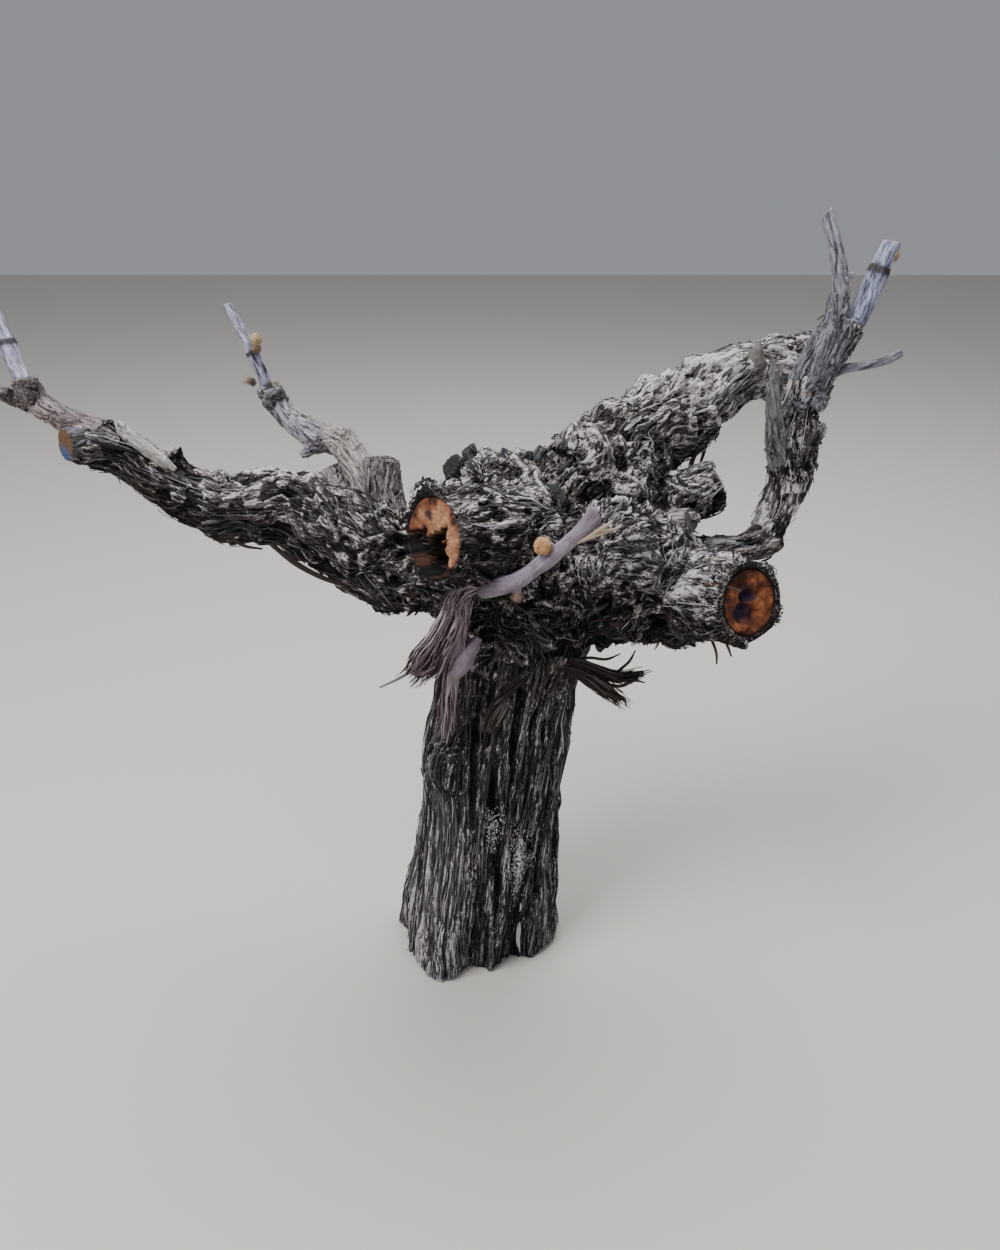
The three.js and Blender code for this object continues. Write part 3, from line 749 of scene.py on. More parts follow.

# %% [markdown]
# ## Crests and gaps
# The crests of bark are drawn paler, partly as bleaching by weather and partly as a painted highlight,
# and its gaps darker, as painted shade. Each point is compared with the mean of its neighbours: a point
# above them is a crest and one below them is a gap. The result is kept on the mesh as an attribute, so
# that the colour fits the relief from any side.

# %% Crests and gaps
def edge_array(mesh):
    edges = np.zeros(len(mesh.edges) * 2, np.int32)
    mesh.edges.foreach_get("vertices", edges)
    return edges.reshape(-1, 2)


def blurred(values, edges, steps):
    count = np.bincount(edges.ravel(), minlength=len(values)) + 1.0
    for _ in range(steps):
        total = values.copy()
        for axis in range(values.shape[1]):
            total[:, axis] += np.bincount(edges[:, 0], values[edges[:, 1], axis], len(values))
            total[:, axis] += np.bincount(edges[:, 1], values[edges[:, 0], axis], len(values))
        values = total / count[:, None]
    return values


def crest_of(points, normals, edges, steps, full):
    """0 in a gap and 1 on a crest. full is the height in millimetres that counts as all."""
    rise = ((points - blurred(points, edges, steps)) * normals).sum(1)
    return np.clip(0.5 + rise / (2 * full), 0, 1)


def store(mesh, name, values):
    """Keeps one value or one place for each point."""
    kind, field = ("FLOAT", "value") if values.ndim == 1 else ("FLOAT_VECTOR", "vector")
    mesh.attributes.new(name, kind, "POINT").data.foreach_set(field, values.astype(np.float32).ravel())


BLUR_STEPS = 12
# how far the streaks and the paler and darker places shift the tone, and how much painted top light
# and underside shade is added to those places
STREAK_TONE, PALING_AND_SHADE_TONE, TOP_LIGHT_PAINT = 0.22, 0.55, 1.0
# middle and half sizes of the places where lichen grows
LICHEN_SPOTS = [
    ((34, -56, 110), (6, 20, 34)), ((48, -50, 116), (5, 20, 24)), ((15, -56, 145), (5, 16, 24)),
    ((9, 20, 420), (14, 14, 9)),
]
# middle, half sizes and strength of places drawn paler; a strength below nothing draws them darker, and
# the dark places under the head's front and under the left arm are painted shade
PALED_AND_SHADED_PLACES = [
    ((-34, -40, 60), (34, 50, 90), 1.4), ((58, -50, 100), (14, 30, 90), 0.7),
    ((190, 100, 450), (110, 80, 60), 1.5), ((236, 40, 440), (40, 40, 60), 0.5),
    ((-200, 0, 410), (40, 50, 30), -0.1), ((140, -40, 360), (50, 40, 24), 1.1),
    ((75, -50, 318), (70, 34, 26), -0.9), ((-110, -10, 372), (70, 60, 30), -0.6),
    ((-2, -66, 388), (30, 30, 34), -0.7), ((-16, -44, 204), (20, 24, 26), -0.9),
    ((24, -50, 230), (40, 26, 50), -0.3), ((225, 31, 419), (30, 30, 12), -1.3),
    ((234, 38, 458), (16, 16, 26), -1.4), ((263, 50, 498), (12, 12, 14), -1.6),
    ((60, -10, 400), (60, 50, 40), 0.4), ((208, 23, 386), (30, 20, 16), 0.9),
]
body_edges = edge_array(old_wood.data)
# crest: paler on raised points and darker on sunk ones, a painted highlight and painted shade
crest = crest_of(barked, normals_of(old_wood), body_edges, BLUR_STEPS, 1.7)
for tip, axis, radius, _ in sawn_ends:
    at_rim = (np.linalg.norm(barked - tip, axis=1) < 1.5 * radius) * ease((5 - (tip - barked) @ axis) / 4)
    crest *= 1 - 0.6 * at_rim
from_trunk = barked - between(barked[:, 2], trunk_line[0][:, 2], trunk_line[0])
trunk_turn = np.degrees(np.arctan2(from_trunk[:, 1], from_trunk[:, 0])) % 360
# painted shade: the crests are darkened in the foot's hollows, in the crevices and in the crumbled hollows
in_hollow = np.clip(4 * hollow_at(trunk_turn, barked[:, 2]), 0, 1) * on_trunk
shade = np.maximum.reduce([in_hollow, crevice, 0.8 * hollows])
crest *= 1 - 0.8 * shade
# paler places, and painted shade under the head and under the left arm, as the places above give them
paling_and_painted_shade = sum(power * np.exp(-far(barked, middle, sizes)) for middle, sizes, power in PALED_AND_SHADED_PLACES)
# painted top light and underside shade: off the trunk, faces that look up are paler and faces that look down
# darker
paling_and_painted_shade += TOP_LIGHT_PAINT * (ease(0.5 + 0.9 * smooth_normals[:, 2]) - 0.5) * (1 - on_trunk)
lichen = np.exp(-np.min([far(barked, middle, sizes) for middle, sizes in LICHEN_SPOTS], axis=0))
facings = [LIMB_FACINGS.get(name, USUAL_FACING) for name in limb_names]
attributes = {
    "crest": crest, "tone": 0.5 + STREAK_TONE * streaks(barked, flow, 2.6, 16, 90) + PALING_AND_SHADE_TONE * paling_and_painted_shade,
    "lichen": lichen, "strand": strand_places(barked, own, limb_lines, facings),
}
print("crests:", round(float((crest > 0.6).mean()), 2), "gaps:", round(float((crest < 0.4).mean()), 2))

# %% [markdown]
# ## Part the skin into named pieces
# The skin is parted where one limb leaves another, so that each piece stands for its own node of the
# frame. Both sides of a cut keep the same points, so no seam shows, and each piece is closed inside.

# %% Part the skin into named pieces
# how far along a limb its own piece starts, and the height where the trunk's piece ends
PARTING = {
    "front_left_stub": 62, "right_front_stub": 62, "left_arm": 86, "rear_arm": 66,
    "right_arm_lower": 40, "right_arm_upper": 8, "right_knob": 46,
}
TRUNK_TOP = 262
# the nodes that each piece stands for
PIECE_NODES = {
    "trunk": ["trunk"], "head": ["head", "right_small_stub", "upper_left_stub"],
    "front_left_stub": ["front_left_stub"], "right_front_stub": ["right_front_stub"],
    "left_arm": ["left_arm"], "rear_arm": ["rear_arm"], "right_knob": ["right_knob"],
    "right_arm": ["right_arm_lower", "right_arm_upper"],
}


def face_array(mesh):
    quads = np.zeros(len(mesh.loops), np.int32)
    mesh.loops.foreach_get("vertex_index", quads)
    return quads.reshape(-1, 4)


def mesh_of(name, points, quads):
    """A mesh from points in millimetres and faces of four corners."""
    mesh = bpy.data.meshes.new(name)
    mesh.vertices.add(len(points))
    mesh.vertices.foreach_set("co", (np.asarray(points, np.float32) * MM).ravel())
    mesh.loops.add(quads.size)
    mesh.loops.foreach_set("vertex_index", quads.astype(np.int32).ravel())
    mesh.polygons.add(len(quads))
    mesh.polygons.foreach_set("loop_start", np.arange(0, quads.size, 4, dtype=np.int32))
    mesh.update(calc_edges=True)
    mesh.validate()
    piece = bpy.data.objects.new(name, mesh)
    bpy.context.scene.collection.objects.link(piece)
    return piece


def cap_cuts():
    bpy.ops.mesh.select_all(action="DESELECT")
    bpy.ops.mesh.select_non_manifold()
    bpy.ops.mesh.mark_sharp()
    bpy.ops.mesh.fill_holes(sides=0)


def finished(piece, slot, *nodes, smooth=True):
    """Smooths a piece and hides the nodes it stands for. The whole vine rides on its one body. Its slot
    is not used.
    """
    if smooth:
        piece.data.polygons.foreach_set("use_smooth", np.ones(len(piece.data.polygons), bool))
    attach(piece, "root")
    if nodes:
        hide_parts(*nodes)
    piece.data.update()
    return piece


piece_names = list(PIECE_NODES)
numbers = np.full(len(barked), piece_names.index("head"))
for name, start in PARTING.items():
    number = limb_names.index(name)
    piece = next(piece for piece, nodes in PIECE_NODES.items() if name in nodes)
    numbers[(own == number) & (along[number] > start)] = piece_names.index(piece)
numbers[body_points[:, 2] < TRUNK_TOP] = piece_names.index("trunk")
body_faces = face_array(old_wood.data)
face_numbers = np.sort(numbers[body_faces], axis=1)[:, 1]
bark_pieces = {}
for number, name in enumerate(piece_names):
    faces = body_faces[face_numbers == number]
    used = np.unique(faces)
    renumber = np.full(len(barked), -1)
    renumber[used] = np.arange(len(used))
    piece = mesh_of(name + "_bark", barked[used], renumber[faces])
    for attribute, values in attributes.items():
        store(piece.data, attribute, values[used])
    select_only(piece)
    finish_edit(cap_cuts)
    bark_pieces[name] = finished(piece, "trunk_bark" if name == "trunk" else "old_bark", *PIECE_NODES[name])
    print(piece.name, len(piece.data.polygons) * 2, "triangles")
bpy.data.objects.remove(old_wood)

# %% [markdown]
# ## Bark material
# Old vine bark is dead cork and fibre: matt, dark brown in the gaps, as painted shade, and a bluish
# grey on the crests, partly bleached and partly a painted highlight. The crest attribute drives a ramp
# between those colours. Fibres and cracks finer than the mesh can hold are drawn in the strand's own
# places, so they run along each limb and bend with it.

# %% Bark material
def bark_material(name, longer, finer, gap, low, high, crest_colour):
    """Weathered bark. longer draws its fibres out along the limb, finer makes them thin and clear."""
    material, tree, shader = new_material(name)
    place = add_node(tree, "TexCoord", "Object")
    crest_value, tone_value, lichen_value = (add_node(tree, "Attribute", "Fac", attribute_name=kind)
                                             for kind in ("crest", "tone", "lichen"))
    mottle = add_node(tree, "TexNoise", "Fac", {"Vector": place, "Scale": 420, "Detail": 5,
                                                "Roughness": 0.65})
    broad = add_node(tree, "TexNoise", "Fac", {"Vector": place, "Scale": 38, "Detail": 2})
    strand = add_node(tree, "Attribute", "Vector", attribute_name="strand")
    strand = add_node(tree, "VectorMath", 0, {0: strand, 1: (1, 1, 1 / longer)}, operation="MULTIPLY")
    fibres = add_node(tree, "TexNoise", "Fac", {"Vector": strand, "Scale": 0.75 * finer, "Detail": 3,
                                                "Roughness": 0.62})
    split = add_node(tree, "TexNoise", "Fac", {"Vector": strand, "Scale": 0.36 * finer, "Detail": 2})
    split = add_node(tree, "Math", 0, {0: split, 1: 0.5}, operation="SUBTRACT")
    split = add_node(tree, "Math", 0, {0: split}, operation="ABSOLUTE")
    level = add_node(tree, "MapRange", 0, {"Value": split, "From Max": 0.035, "To Min": -0.4, "To Max": 0.0})
    fibre_share = 1.4 * finer
    for value, share in ((crest_value, 0.62), (tone_value, 0.42), (mottle, 0.2), (fibres, fibre_share)):
        level = add_node(tree, "Math", 0, {0: value, 1: share, 2: level}, operation="MULTIPLY_ADD")
    level = add_node(tree, "Math", 0, {0: level, 1: 0.08 + 0.5 * fibre_share}, operation="SUBTRACT")
    # the ramp: near black in the gaps as painted shade, pale grey on the crests as partly bleaching and
    # partly a painted highlight
    cork = add_node(tree, "ValToRGB", "Color", {"Fac": level},
                    [(0.24, gap), (0.43, low), (0.63, high), (0.88, crest_colour)])
    warm = add_node(tree, "Mix", 2, {"Factor": broad, 6: cork, 7: "#6a5d54"}, data_type="RGBA",
                    blend_type="SOFT_LIGHT")
    speckle = add_node(tree, "TexVoronoi", "Distance", {"Vector": place, "Scale": 430})
    spots = add_node(tree, "Math", 0, {0: lichen_value, 1: 0.3}, operation="MULTIPLY")
    spots = add_node(tree, "Math", 0, {0: spots, 1: speckle}, operation="SUBTRACT")
    spots = add_node(tree, "MapRange", 0, {"Value": spots, "From Min": 0.02, "From Max": 0.14})
    crusts = add_node(tree, "Math", 0, {0: spots, 1: crest_value}, operation="MULTIPLY")
    colour = add_node(tree, "Mix", 2, {"Factor": crusts, 6: warm, 7: "#c4c3ba"}, data_type="RGBA")
    rough = add_node(tree, "MapRange", 0, {"Value": mottle, "To Min": 0.78, "To Max": 1.0})
    bump = add_node(tree, "Bump", "Normal", {"Height": fibres, "Strength": 0.9, "Distance": 0.0016})
    bump = add_node(tree, "Bump", "Normal", {"Height": mottle, "Strength": 0.5, "Distance": 0.0008,
                                             "Normal": bump})
    fill(tree, shader, {"Base Color": colour, "Roughness": rough, "Normal": bump, "Specular IOR Level": 0.25})
    return material


trunk_bark = bark_material("stringy_trunk_bark", 3.5, 1.6, "#050404", "#2b2828", "#6a666a", "#d2ced4")
old_bark = bark_material("crumpled_old_bark", 1.0, 1.1, "#050404", "#2b2727", "#726d6c", "#d4cfd0")
for name, piece in bark_pieces.items():
    piece.data.materials.append(trunk_bark if name == "trunk" else old_bark)
print("bark materials:", trunk_bark.name, old_bark.name)

# %% [markdown]
# ## Ribbons
# Dead bark comes away in thin strips. A strip is held by one end or by its middle, and what is free
# lifts and curls. Every strip is a closed ribbon with six corners to a section: two edges and a
# middle above, the same below. Thousands of them are made at once as arrays and joined, because the
# shape repeats and only its place, size and curl differ.

# %% Ribbons
# corners of a ribbon's section
SECTION = 6


def ribbon_mesh(centres, normals, half, edge, thick):
    """Corners of closed ribbons. centres and normals go by ribbon, station and axis."""
    tangents = unit(np.gradient(centres, axis=1))
    sides = unit(np.cross(normals, tangents))
    ups = np.cross(tangents, sides)
    corners = []
    for across, below in ((-1, 0), (0, 0), (1, 0), (1, 0.5), (0, 1), (-1, 0.5)):
        rise = edge * abs(across) - thick * below
        corners.append(centres + sides * (across * half)[:, :, None] + ups * rise[:, :, None])
    return np.stack(corners, axis=2)


def ribbon_faces(count, stations):
    """Faces round each ribbon and over its two ends."""
    first = np.arange(count)[:, None] * stations * SECTION
    faces = []
    for k in range(stations - 1):
        for j in range(SECTION):
            after = (j + 1) % SECTION
            quad = [k * SECTION + j, (k + 1) * SECTION + j, (k + 1) * SECTION + after, k * SECTION + after]
            faces.append(first + np.array(quad))
    last = (stations - 1) * SECTION
    for quad in ((0, 1, 4, 5), (1, 2, 3, 4)):
        faces.append(first + np.array(quad))
        faces.append(first + last + np.array(quad[::-1]))
    return np.concatenate(faces)


def joined_ribbons(name, parts):
    """One mesh from several arrays of ribbon corners."""
    points, faces, start = [], [], 0
    for corners in parts:
        points.append(corners.reshape(-1, 3))
        faces.append(ribbon_faces(*corners.shape[:2]) + start)
        start += len(points[-1])
    points = np.concatenate(points)
    points[:, 2] = np.maximum(points[:, 2], 0)
    return mesh_of(name, points, np.concatenate(faces))


print("triangles in a ribbon of 4 stations:", len(ribbon_faces(1, 4)) * 2)

# %% [markdown]
# ## Strips, flakes and fibres on the bark
# The trunk wears long stringy strips, the arms shorter ones, and the head thousands of small curled
# flakes. Each starts at a random point of the skin and walks along the grain, so it follows the wood
# below it. Weathering differs from strip to strip, so each is dealt one plain tint, from the brown of
# new cork to the pale grey of old. The tint is shifted paler where the strip starts on paled places and
# on faces that look up, and darker on shaded places and faces that look down, which is partly painted
# top light and underside shade.

# %% Strips, flakes and fibres on the bark
skin_tree = KDTree(len(body_points))
for i, point in enumerate(body_points):
    skin_tree.insert(point, i)
skin_tree.balance()
# the relief that a ribbon lies on, half smoothed
cover = 0.5 * height + 0.5 * blurred(height[:, None], body_edges, 6)[:, 0]
# middle and half sizes of the collar and the burrs on the right arm, which crumble as the rims do
CRUMBLY_PLACES = [
    ((225, 31, 420), (26, 26, 8)), ((228, 36, 449), (16, 16, 8)), ((262, 50, 498), (10, 10, 12)),
]
# how far behind a sawn face its rim crumbles most, and how widely
RIM_DEPTH, RIM_BREADTH = 3, 6
# the lowest place where a ribbon may start, and how high above the ground it has to end
RIBBON_FOOT, RIBBON_END = 8, 4
rims = sum(np.exp(-(((tip - body_points) @ axis - RIM_DEPTH) / RIM_BREADTH) ** 2)
           * (np.linalg.norm(body_points - tip, axis=1) < 1.4 * radius) for tip, axis, radius, _ in sawn_ends)
rims += sum(np.exp(-far(body_points, middle, sizes)) for middle, sizes in CRUMBLY_PLACES)
patches = ease(0.5 + 0.5 * noise(body_points / 14, 9)) * ease((crest - 0.25) / 0.4) + 0.03
open_bark = (1 - covered) ** 2 * (1 - shade) ** 3 * (body_points[:, 2] > RIBBON_FOOT) * patches


def over_saw_cut(places):
    """True for ribbons that would cross the open face of a sawn end."""
    crossing = np.zeros(len(places), bool)
    for (tip, axis, radius, _), bark in zip(sawn_ends, CORE_BARK.values()):
        depth = (tip - places) @ axis
        aside = np.linalg.norm(places - tip + depth[..., None] * axis, axis=-1)
        crossing |= ((aside < radius - bark + 1.5) & (depth < 9) & (depth > -25)).any(axis=1)
    return crossing


def walk(starts, heading, spans, stations, stray):
    """Steps along the grain, and gives the places passed and the skin's points nearest to them."""
    place, rows, numbers = body_points[starts].copy(), [], []
    for _ in range(stations):
        found = np.array([skin_tree.find(p)[1] for p in place])
        normal = smooth_normals[found]
        place = place - normal * ((place - body_points[found]) * normal).sum(1)[:, None]
        rows.append(place)
        numbers.append(found)
        flow = grain[found] * np.sign((grain[found] * heading).sum(1))[:, None]
        heading = unit(flow + (0.3 + 6 * stray) * heading)
        heading = unit(heading - normal * (heading * normal).sum(1)[:, None])
        place = place + heading * (spans / (stations - 1))[:, None]
    return np.stack(rows, 1), np.stack(numbers, 1)


def laid_ribbons(rng, weight, count, length, half, lift, thick, stations, roll, hold, wave, stray):
    """Ribbons on the skin, and how much each is paled and shaded where it starts, partly by painted light
    and shade. length, half and lift are ranges. hold is the share of the length that is held down."""
    starts = rng.choice(len(body_points), count, p=weight / weight.sum())
    heading = grain[starts] * np.where(rng.random(count) < 0.5, 1, -1)[:, None]
    aside = np.cross(smooth_normals[starts], heading)
    heading = unit(heading + aside * rng.normal(0, stray, count)[:, None])
    spans = length[0] + (length[1] - length[0]) * rng.random(count) ** 1.8
    falls = np.maximum(-heading[:, 2], 0.05)
    spans = np.minimum(spans, (body_points[starts, 2] - RIBBON_END) / falls)
    places, numbers = walk(starts, heading, spans, stations, stray)
    normals = smooth_normals[numbers]
    sides = np.cross(normals, unit(np.gradient(places, axis=1)))
    share = np.linspace(0, 1, stations)[None]
    away = np.abs(share - hold) / max(hold, 1 - hold)
    rise = cover[numbers] + rng.uniform(0, 0.9, count)[:, None]
    rise += (lift[0] + (lift[1] - lift[0]) * rng.random(count) ** 2)[:, None] * away ** 2
    sway = np.cumsum(rng.standard_normal((count, stations)), axis=1) * wave
    centres = places + normals * rise[:, :, None] + sides * sway[:, :, None]
    angle = rng.normal(0, roll, count)[:, None] * (0.35 + away)
    tilted = normals * np.cos(angle)[:, :, None] + sides * np.sin(angle)[:, :, None]
    outline = np.sin(np.pi * (0.1 + 0.8 * share)) ** 0.6 * rng.uniform(0.7, 1.15, (count, stations))
    widths = (half[0] + (half[1] - half[0]) * rng.random(count) ** 1.8)[:, None] * outline
    curl = rng.uniform(-0.3, 0.8, count)[:, None] * rng.uniform(0.4, 1.3, (count, stations))
    corners = ribbon_mesh(centres, tilted, widths, widths * curl, thick)
    kept = ~over_saw_cut(corners.reshape(count, -1, 3))
    return corners[kept], paling_and_painted_shade[starts[kept]]


def tint_material(name, colour, grain_scale=900):
    """Dry cork and fibre of one tint: matt, with a fine crumbly bump."""
    material, tree, shader = new_material(name)
    place = add_node(tree, "TexCoord", "Object")
    crumbs = add_node(tree, "TexNoise", "Fac", {"Vector": place, "Scale": grain_scale, "Detail": 4,
                                                "Roughness": 0.65})
    rough = add_node(tree, "MapRange", 0, {"Value": crumbs, "To Min": 0.75, "To Max": 1.0})
    bump = add_node(tree, "Bump", "Normal", {"Height": crumbs, "Strength": 0.8, "Distance": 0.0008})
    fill(tree, shader, {"Base Color": colour, "Roughness": rough, "Normal": bump, "Specular IOR Level": 0.25})
    return material


# from dark to pale
TINTS = {
    "rusty_cork": "#3d2f2a", "brown_cork": "#292525", "dull_cork": "#454142", "grey_cork": "#6b676a",
    "pale_cork": "#a09ca1", "crusty_lichen": "#d6d5d1",
}
# how far a ribbon's tint is shifted by its paling and painted shade at full strength, as a share of all
# its tints
PALING_AND_SHADE_SHIFT = 0.2
tint_materials = {name: tint_material("weathered_" + name, colour) for name, colour in TINTS.items()}
RIBBON_SHARE = 1.0
rng = np.random.default_rng(31)
# each kind's place, the shares of its tints, and its batches: count, length, half width, lift,
# thickness, stations, roll, hold, wave and stray
KINDS = {
    "trunk_strips": (on_trunk * open_bark, (0.03, 0.42, 0.36, 0.16, 0.03, 0), [
        (430, (30, 150), (0.4, 1.0), (0, 1.6), 0.8, 10, 0.25, 0.5, 0.3, 0.05),
        (1250, (30, 130), (0.22, 0.5), (0, 1.8), 0.5, 9, 0.4, 0.4, 0.4, 0.07),
    ]),
    "arm_strips": (on_arm * open_bark, (0.03, 0.34, 0.35, 0.21, 0.07, 0), [
        (700, (8, 34), (0.5, 1.7), (0, 3), 0.8, 7, 0.35, 0.2, 0.4, 0.2),
        (1800, (8, 44), (0.22, 0.6), (0, 2.8), 0.5, 7, 0.4, 0.2, 0.6, 0.2),
    ]),
    "head_flakes": (on_head * open_bark, (0.03, 0.36, 0.34, 0.19, 0.08, 0), [
        (900, (5, 15), (0.6, 2.0), (0.5, 4.5), 0.8, 5, 0.6, 0.0, 0.6, 0.4),
        (3600, (5, 18), (0.25, 0.9), (0.3, 3.4), 0.5, 5, 0.6, 0.0, 0.8, 0.4),
    ]),
    "rim_crumbs": (rims, (0.15, 0.35, 0.25, 0.15, 0.1, 0), [
        (2000, (1.2, 5.5), (0.4, 1.3), (0, 2.4), 0.7, 4, 0.9, 0.3, 0.3, 1.2),
    ]),
    "lichen_grains": (lichen ** 2 * (body_points[:, 2] > RIBBON_FOOT), (0, 0, 0, 0, 0.2, 0.8), [
        (1500, (0.7, 1.6), (0.3, 0.65), (0, 0.5), 0.6, 3, 0.6, 0.5, 0.1, 1.0),
    ]),
}
for kind, (weight, shares, batches) in KINDS.items():
    made = [laid_ribbons(rng, weight, int(batch[0] * RIBBON_SHARE), *batch[1:]) for batch in batches]
    deals = []
    for _, pale in made:
        draw = np.minimum(rng.random(len(pale)) + PALING_AND_SHADE_SHIFT * pale, 0.999)
        deals.append(np.searchsorted(np.cumsum(shares), draw))
    for number, tint in enumerate(TINTS):
        if shares[number]:
            parts = [corners[deal == number] for (corners, _), deal in zip(made, deals)]
            piece = joined_ribbons(kind + "_" + tint, parts)
            piece.data.materials.append(tint_materials[tint])
            finished(piece, "trunk_bark" if kind == "trunk_strips" else "old_bark", smooth=False)
    print(kind, sum(len(pale) for _, pale in made), "ribbons")

# %% [markdown]
# ## Sawn wood
# Each core is turned from the same flat grid as the limbs: it is rolled so that its rings run from
# the pith over the face, down the rim and back behind. The left face rotted before it was sawn: its
# lower part is an empty pocket with a ragged lip, and a band of sound sapwood stands at its side. The
# right face is sound, with a dark stained heart.

# %% Sawn wood
# shares of the grid where the face ends and where the rim ends
FACE_SHARE, RIM_SHARE = 0.62, 0.74
# the gap round a core in its socket, and its faces round and along
CORE_CLEAR, CORE_GRID = 0.3, (120, 74)


def cut_axes(stub):
    """A sawn face's middle, its outward, rightward and upward directions and its wood's radius."""
    tip, axis, radius = end_frame(OLD_LIMBS[stub])
    upward = unit(np.array([0, 0, 1.0]) - axis * axis[2])
    return tip, axis, np.cross(upward, axis), upward, radius - CORE_BARK[stub] - CORE_CLEAR


def sawn_core(name, stub, sink):
    """A core of wood. sink gives the depth below the face at places across and up, from -1 to 1."""
    tip, axis, right, upward, radius = cut_axes(stub)

    def place(turn, share):
        angle = turn * 2 * np.pi
        face = np.clip(share / FACE_SHARE, 0.02, 1)
        back = np.clip((1 - share) / (1 - RIM_SHARE), 0.02, 1)
        out = np.where(share < RIM_SHARE, face, back)
        across, up = out * np.cos(angle), out * np.sin(angle)
        depth = np.where(share <= FACE_SHARE, sink(across, up), 0)
        depth += np.clip((share - FACE_SHARE) / (RIM_SHARE - FACE_SHARE), 0, 1) * CORE_DEPTH
        return (tip + (right * across[:, None] + upward * up[:, None]) * radius
                - axis * np.clip(depth, -1, CORE_DEPTH)[:, None])

    return rolled(name, *CORE_GRID, place)


def flat_noise(across, up, cells, seed):
    return noise(np.stack([across * cells, up * cells, np.full(len(across), 0.5)], axis=1), seed)


def saw_marks(across, up, seed):
    """Fine ridges of the growth rings, and cracks that run out from the pith."""
    out, angle = np.hypot(across, up), np.arctan2(up, across)
    rings = 0.22 * np.sin(out * 46 + 1.5 * flat_noise(across, up, 3, seed))
    turn = np.stack([3.2 * np.cos(angle), 3.2 * np.sin(angle), out * 0.6], axis=1)
    cracks = np.clip(0.12 - np.abs(noise(turn * 2.2, seed + 3)), 0, 1) * 6
    return rings + cracks * ease((out - 0.15) / 0.3) + 0.5 * flat_noise(across, up, 6, seed + 7)


def left_lip(across, up):
    """How far a place is inside the rot pocket. It is less than nothing on sound wood."""
    below_step, beside_sapwood, at_foot = 0.25 + 0.24 * across - up, 0.55 - 0.5 * up - across, -0.5 - up
    return np.maximum(np.minimum(below_step, beside_sapwood), at_foot) + 0.16 * flat_noise(across, up, 7, 3)


def left_sink(across, up):
    rot = ease(left_lip(across, up) / 0.2)
    pocket = rot * (17 + 6 * flat_noise(across, up, 5, 8) + 5 * flat_noise(across, up, 11, 9))
    return 0.8 + saw_marks(across, up, 5) + pocket * ease((1.02 - np.hypot(across, up)) / 0.1 + 0.3)


def patch(across, up, x, y, width, height, seed=1):
    """An oval patch with a ragged edge, from 0 to 1."""
    gap = ((across - x) / width) ** 2 + ((up - y) / height) ** 2 + 0.35 * flat_noise(across, up, 7, seed)
    return np.exp(-np.maximum(gap, 0) ** 2)


def right_heart(across, up):
    """The dark heart is two hollows, one above the other, with a waist between them."""
    return np.maximum(patch(across, up, -0.22, -0.3, 0.4, 0.3, 2), patch(across, up, 0.1, 0.2, 0.36, 0.22, 3))


def right_sink(across, up):
    knob = 2.5 * patch(across, up, -0.4, -0.68, 0.2, 0.14, 4)
    bowl = 2.2 * patch(across, up, -0.28, 0.66, 0.32, 0.18, 5)
    rough = 1.5 + 0.5 * saw_marks(across, up, 9) + 1.1 * flat_noise(across, up, 4, 12)
    return rough + 5 * right_heart(across, up) + bowl - knob


def left_shades(across, up):
    """How much brighter than plain wood a place on the left face is, its heart, and its rot pocket,
    whose near-black colour is partly rotten wood and partly painted shade.
    """
    worn_rim = -0.16 * ease((np.hypot(across, up) - 0.8) / 0.2)
    sapwood = 0.2 * ease((across - 0.36) / 0.1) * ease((0.62 - up) / 0.2)
    sapwood += 0.25 * patch(across, up, 0.25, 0.4, 0.3, 0.3)
    # the empty rot pocket is coloured near black: partly rotten wood, partly painted shade
    rot = ease(left_lip(across, up) / 0.1) * (1 - 0.4 * np.clip(flat_noise(across, up, 7, 6), 0, 1))
    bright = worn_rim + sapwood + 0.12 * flat_noise(across, up, 4, 11)
    return bright, 0.85 * patch(across, up, -0.3, 0.52, 0.15, 0.13), rot


def right_shades(across, up):
    """The same for the right face, whose rim is dark with rot."""
    bright = 0.24 * patch(across, up, 0.6, -0.3, 0.4, 0.5) + 0.3 * patch(across, up, -0.4, -0.68, 0.25, 0.2)
    bright += 0.14 * patch(across, up, 0.3, 0.7, 0.4, 0.25) - 0.25 * patch(across, up, -0.28, 0.66, 0.4, 0.25)
    bright += 0.16 * flat_noise(across, up, 4, 14) + 0.08 * flat_noise(across, up, 11, 15) - 0.08
    return bright, 0.95 * right_heart(across, up), 0.8 * ease((np.hypot(across, up) - 0.96) / 0.04)


def rays(points, middle, seed, spread):
    """Streaks that run out from the middle of a face."""
    return 0.5 + spread * streaks(points, unit(points - middle + 1e-3), 1.5, 8, seed)


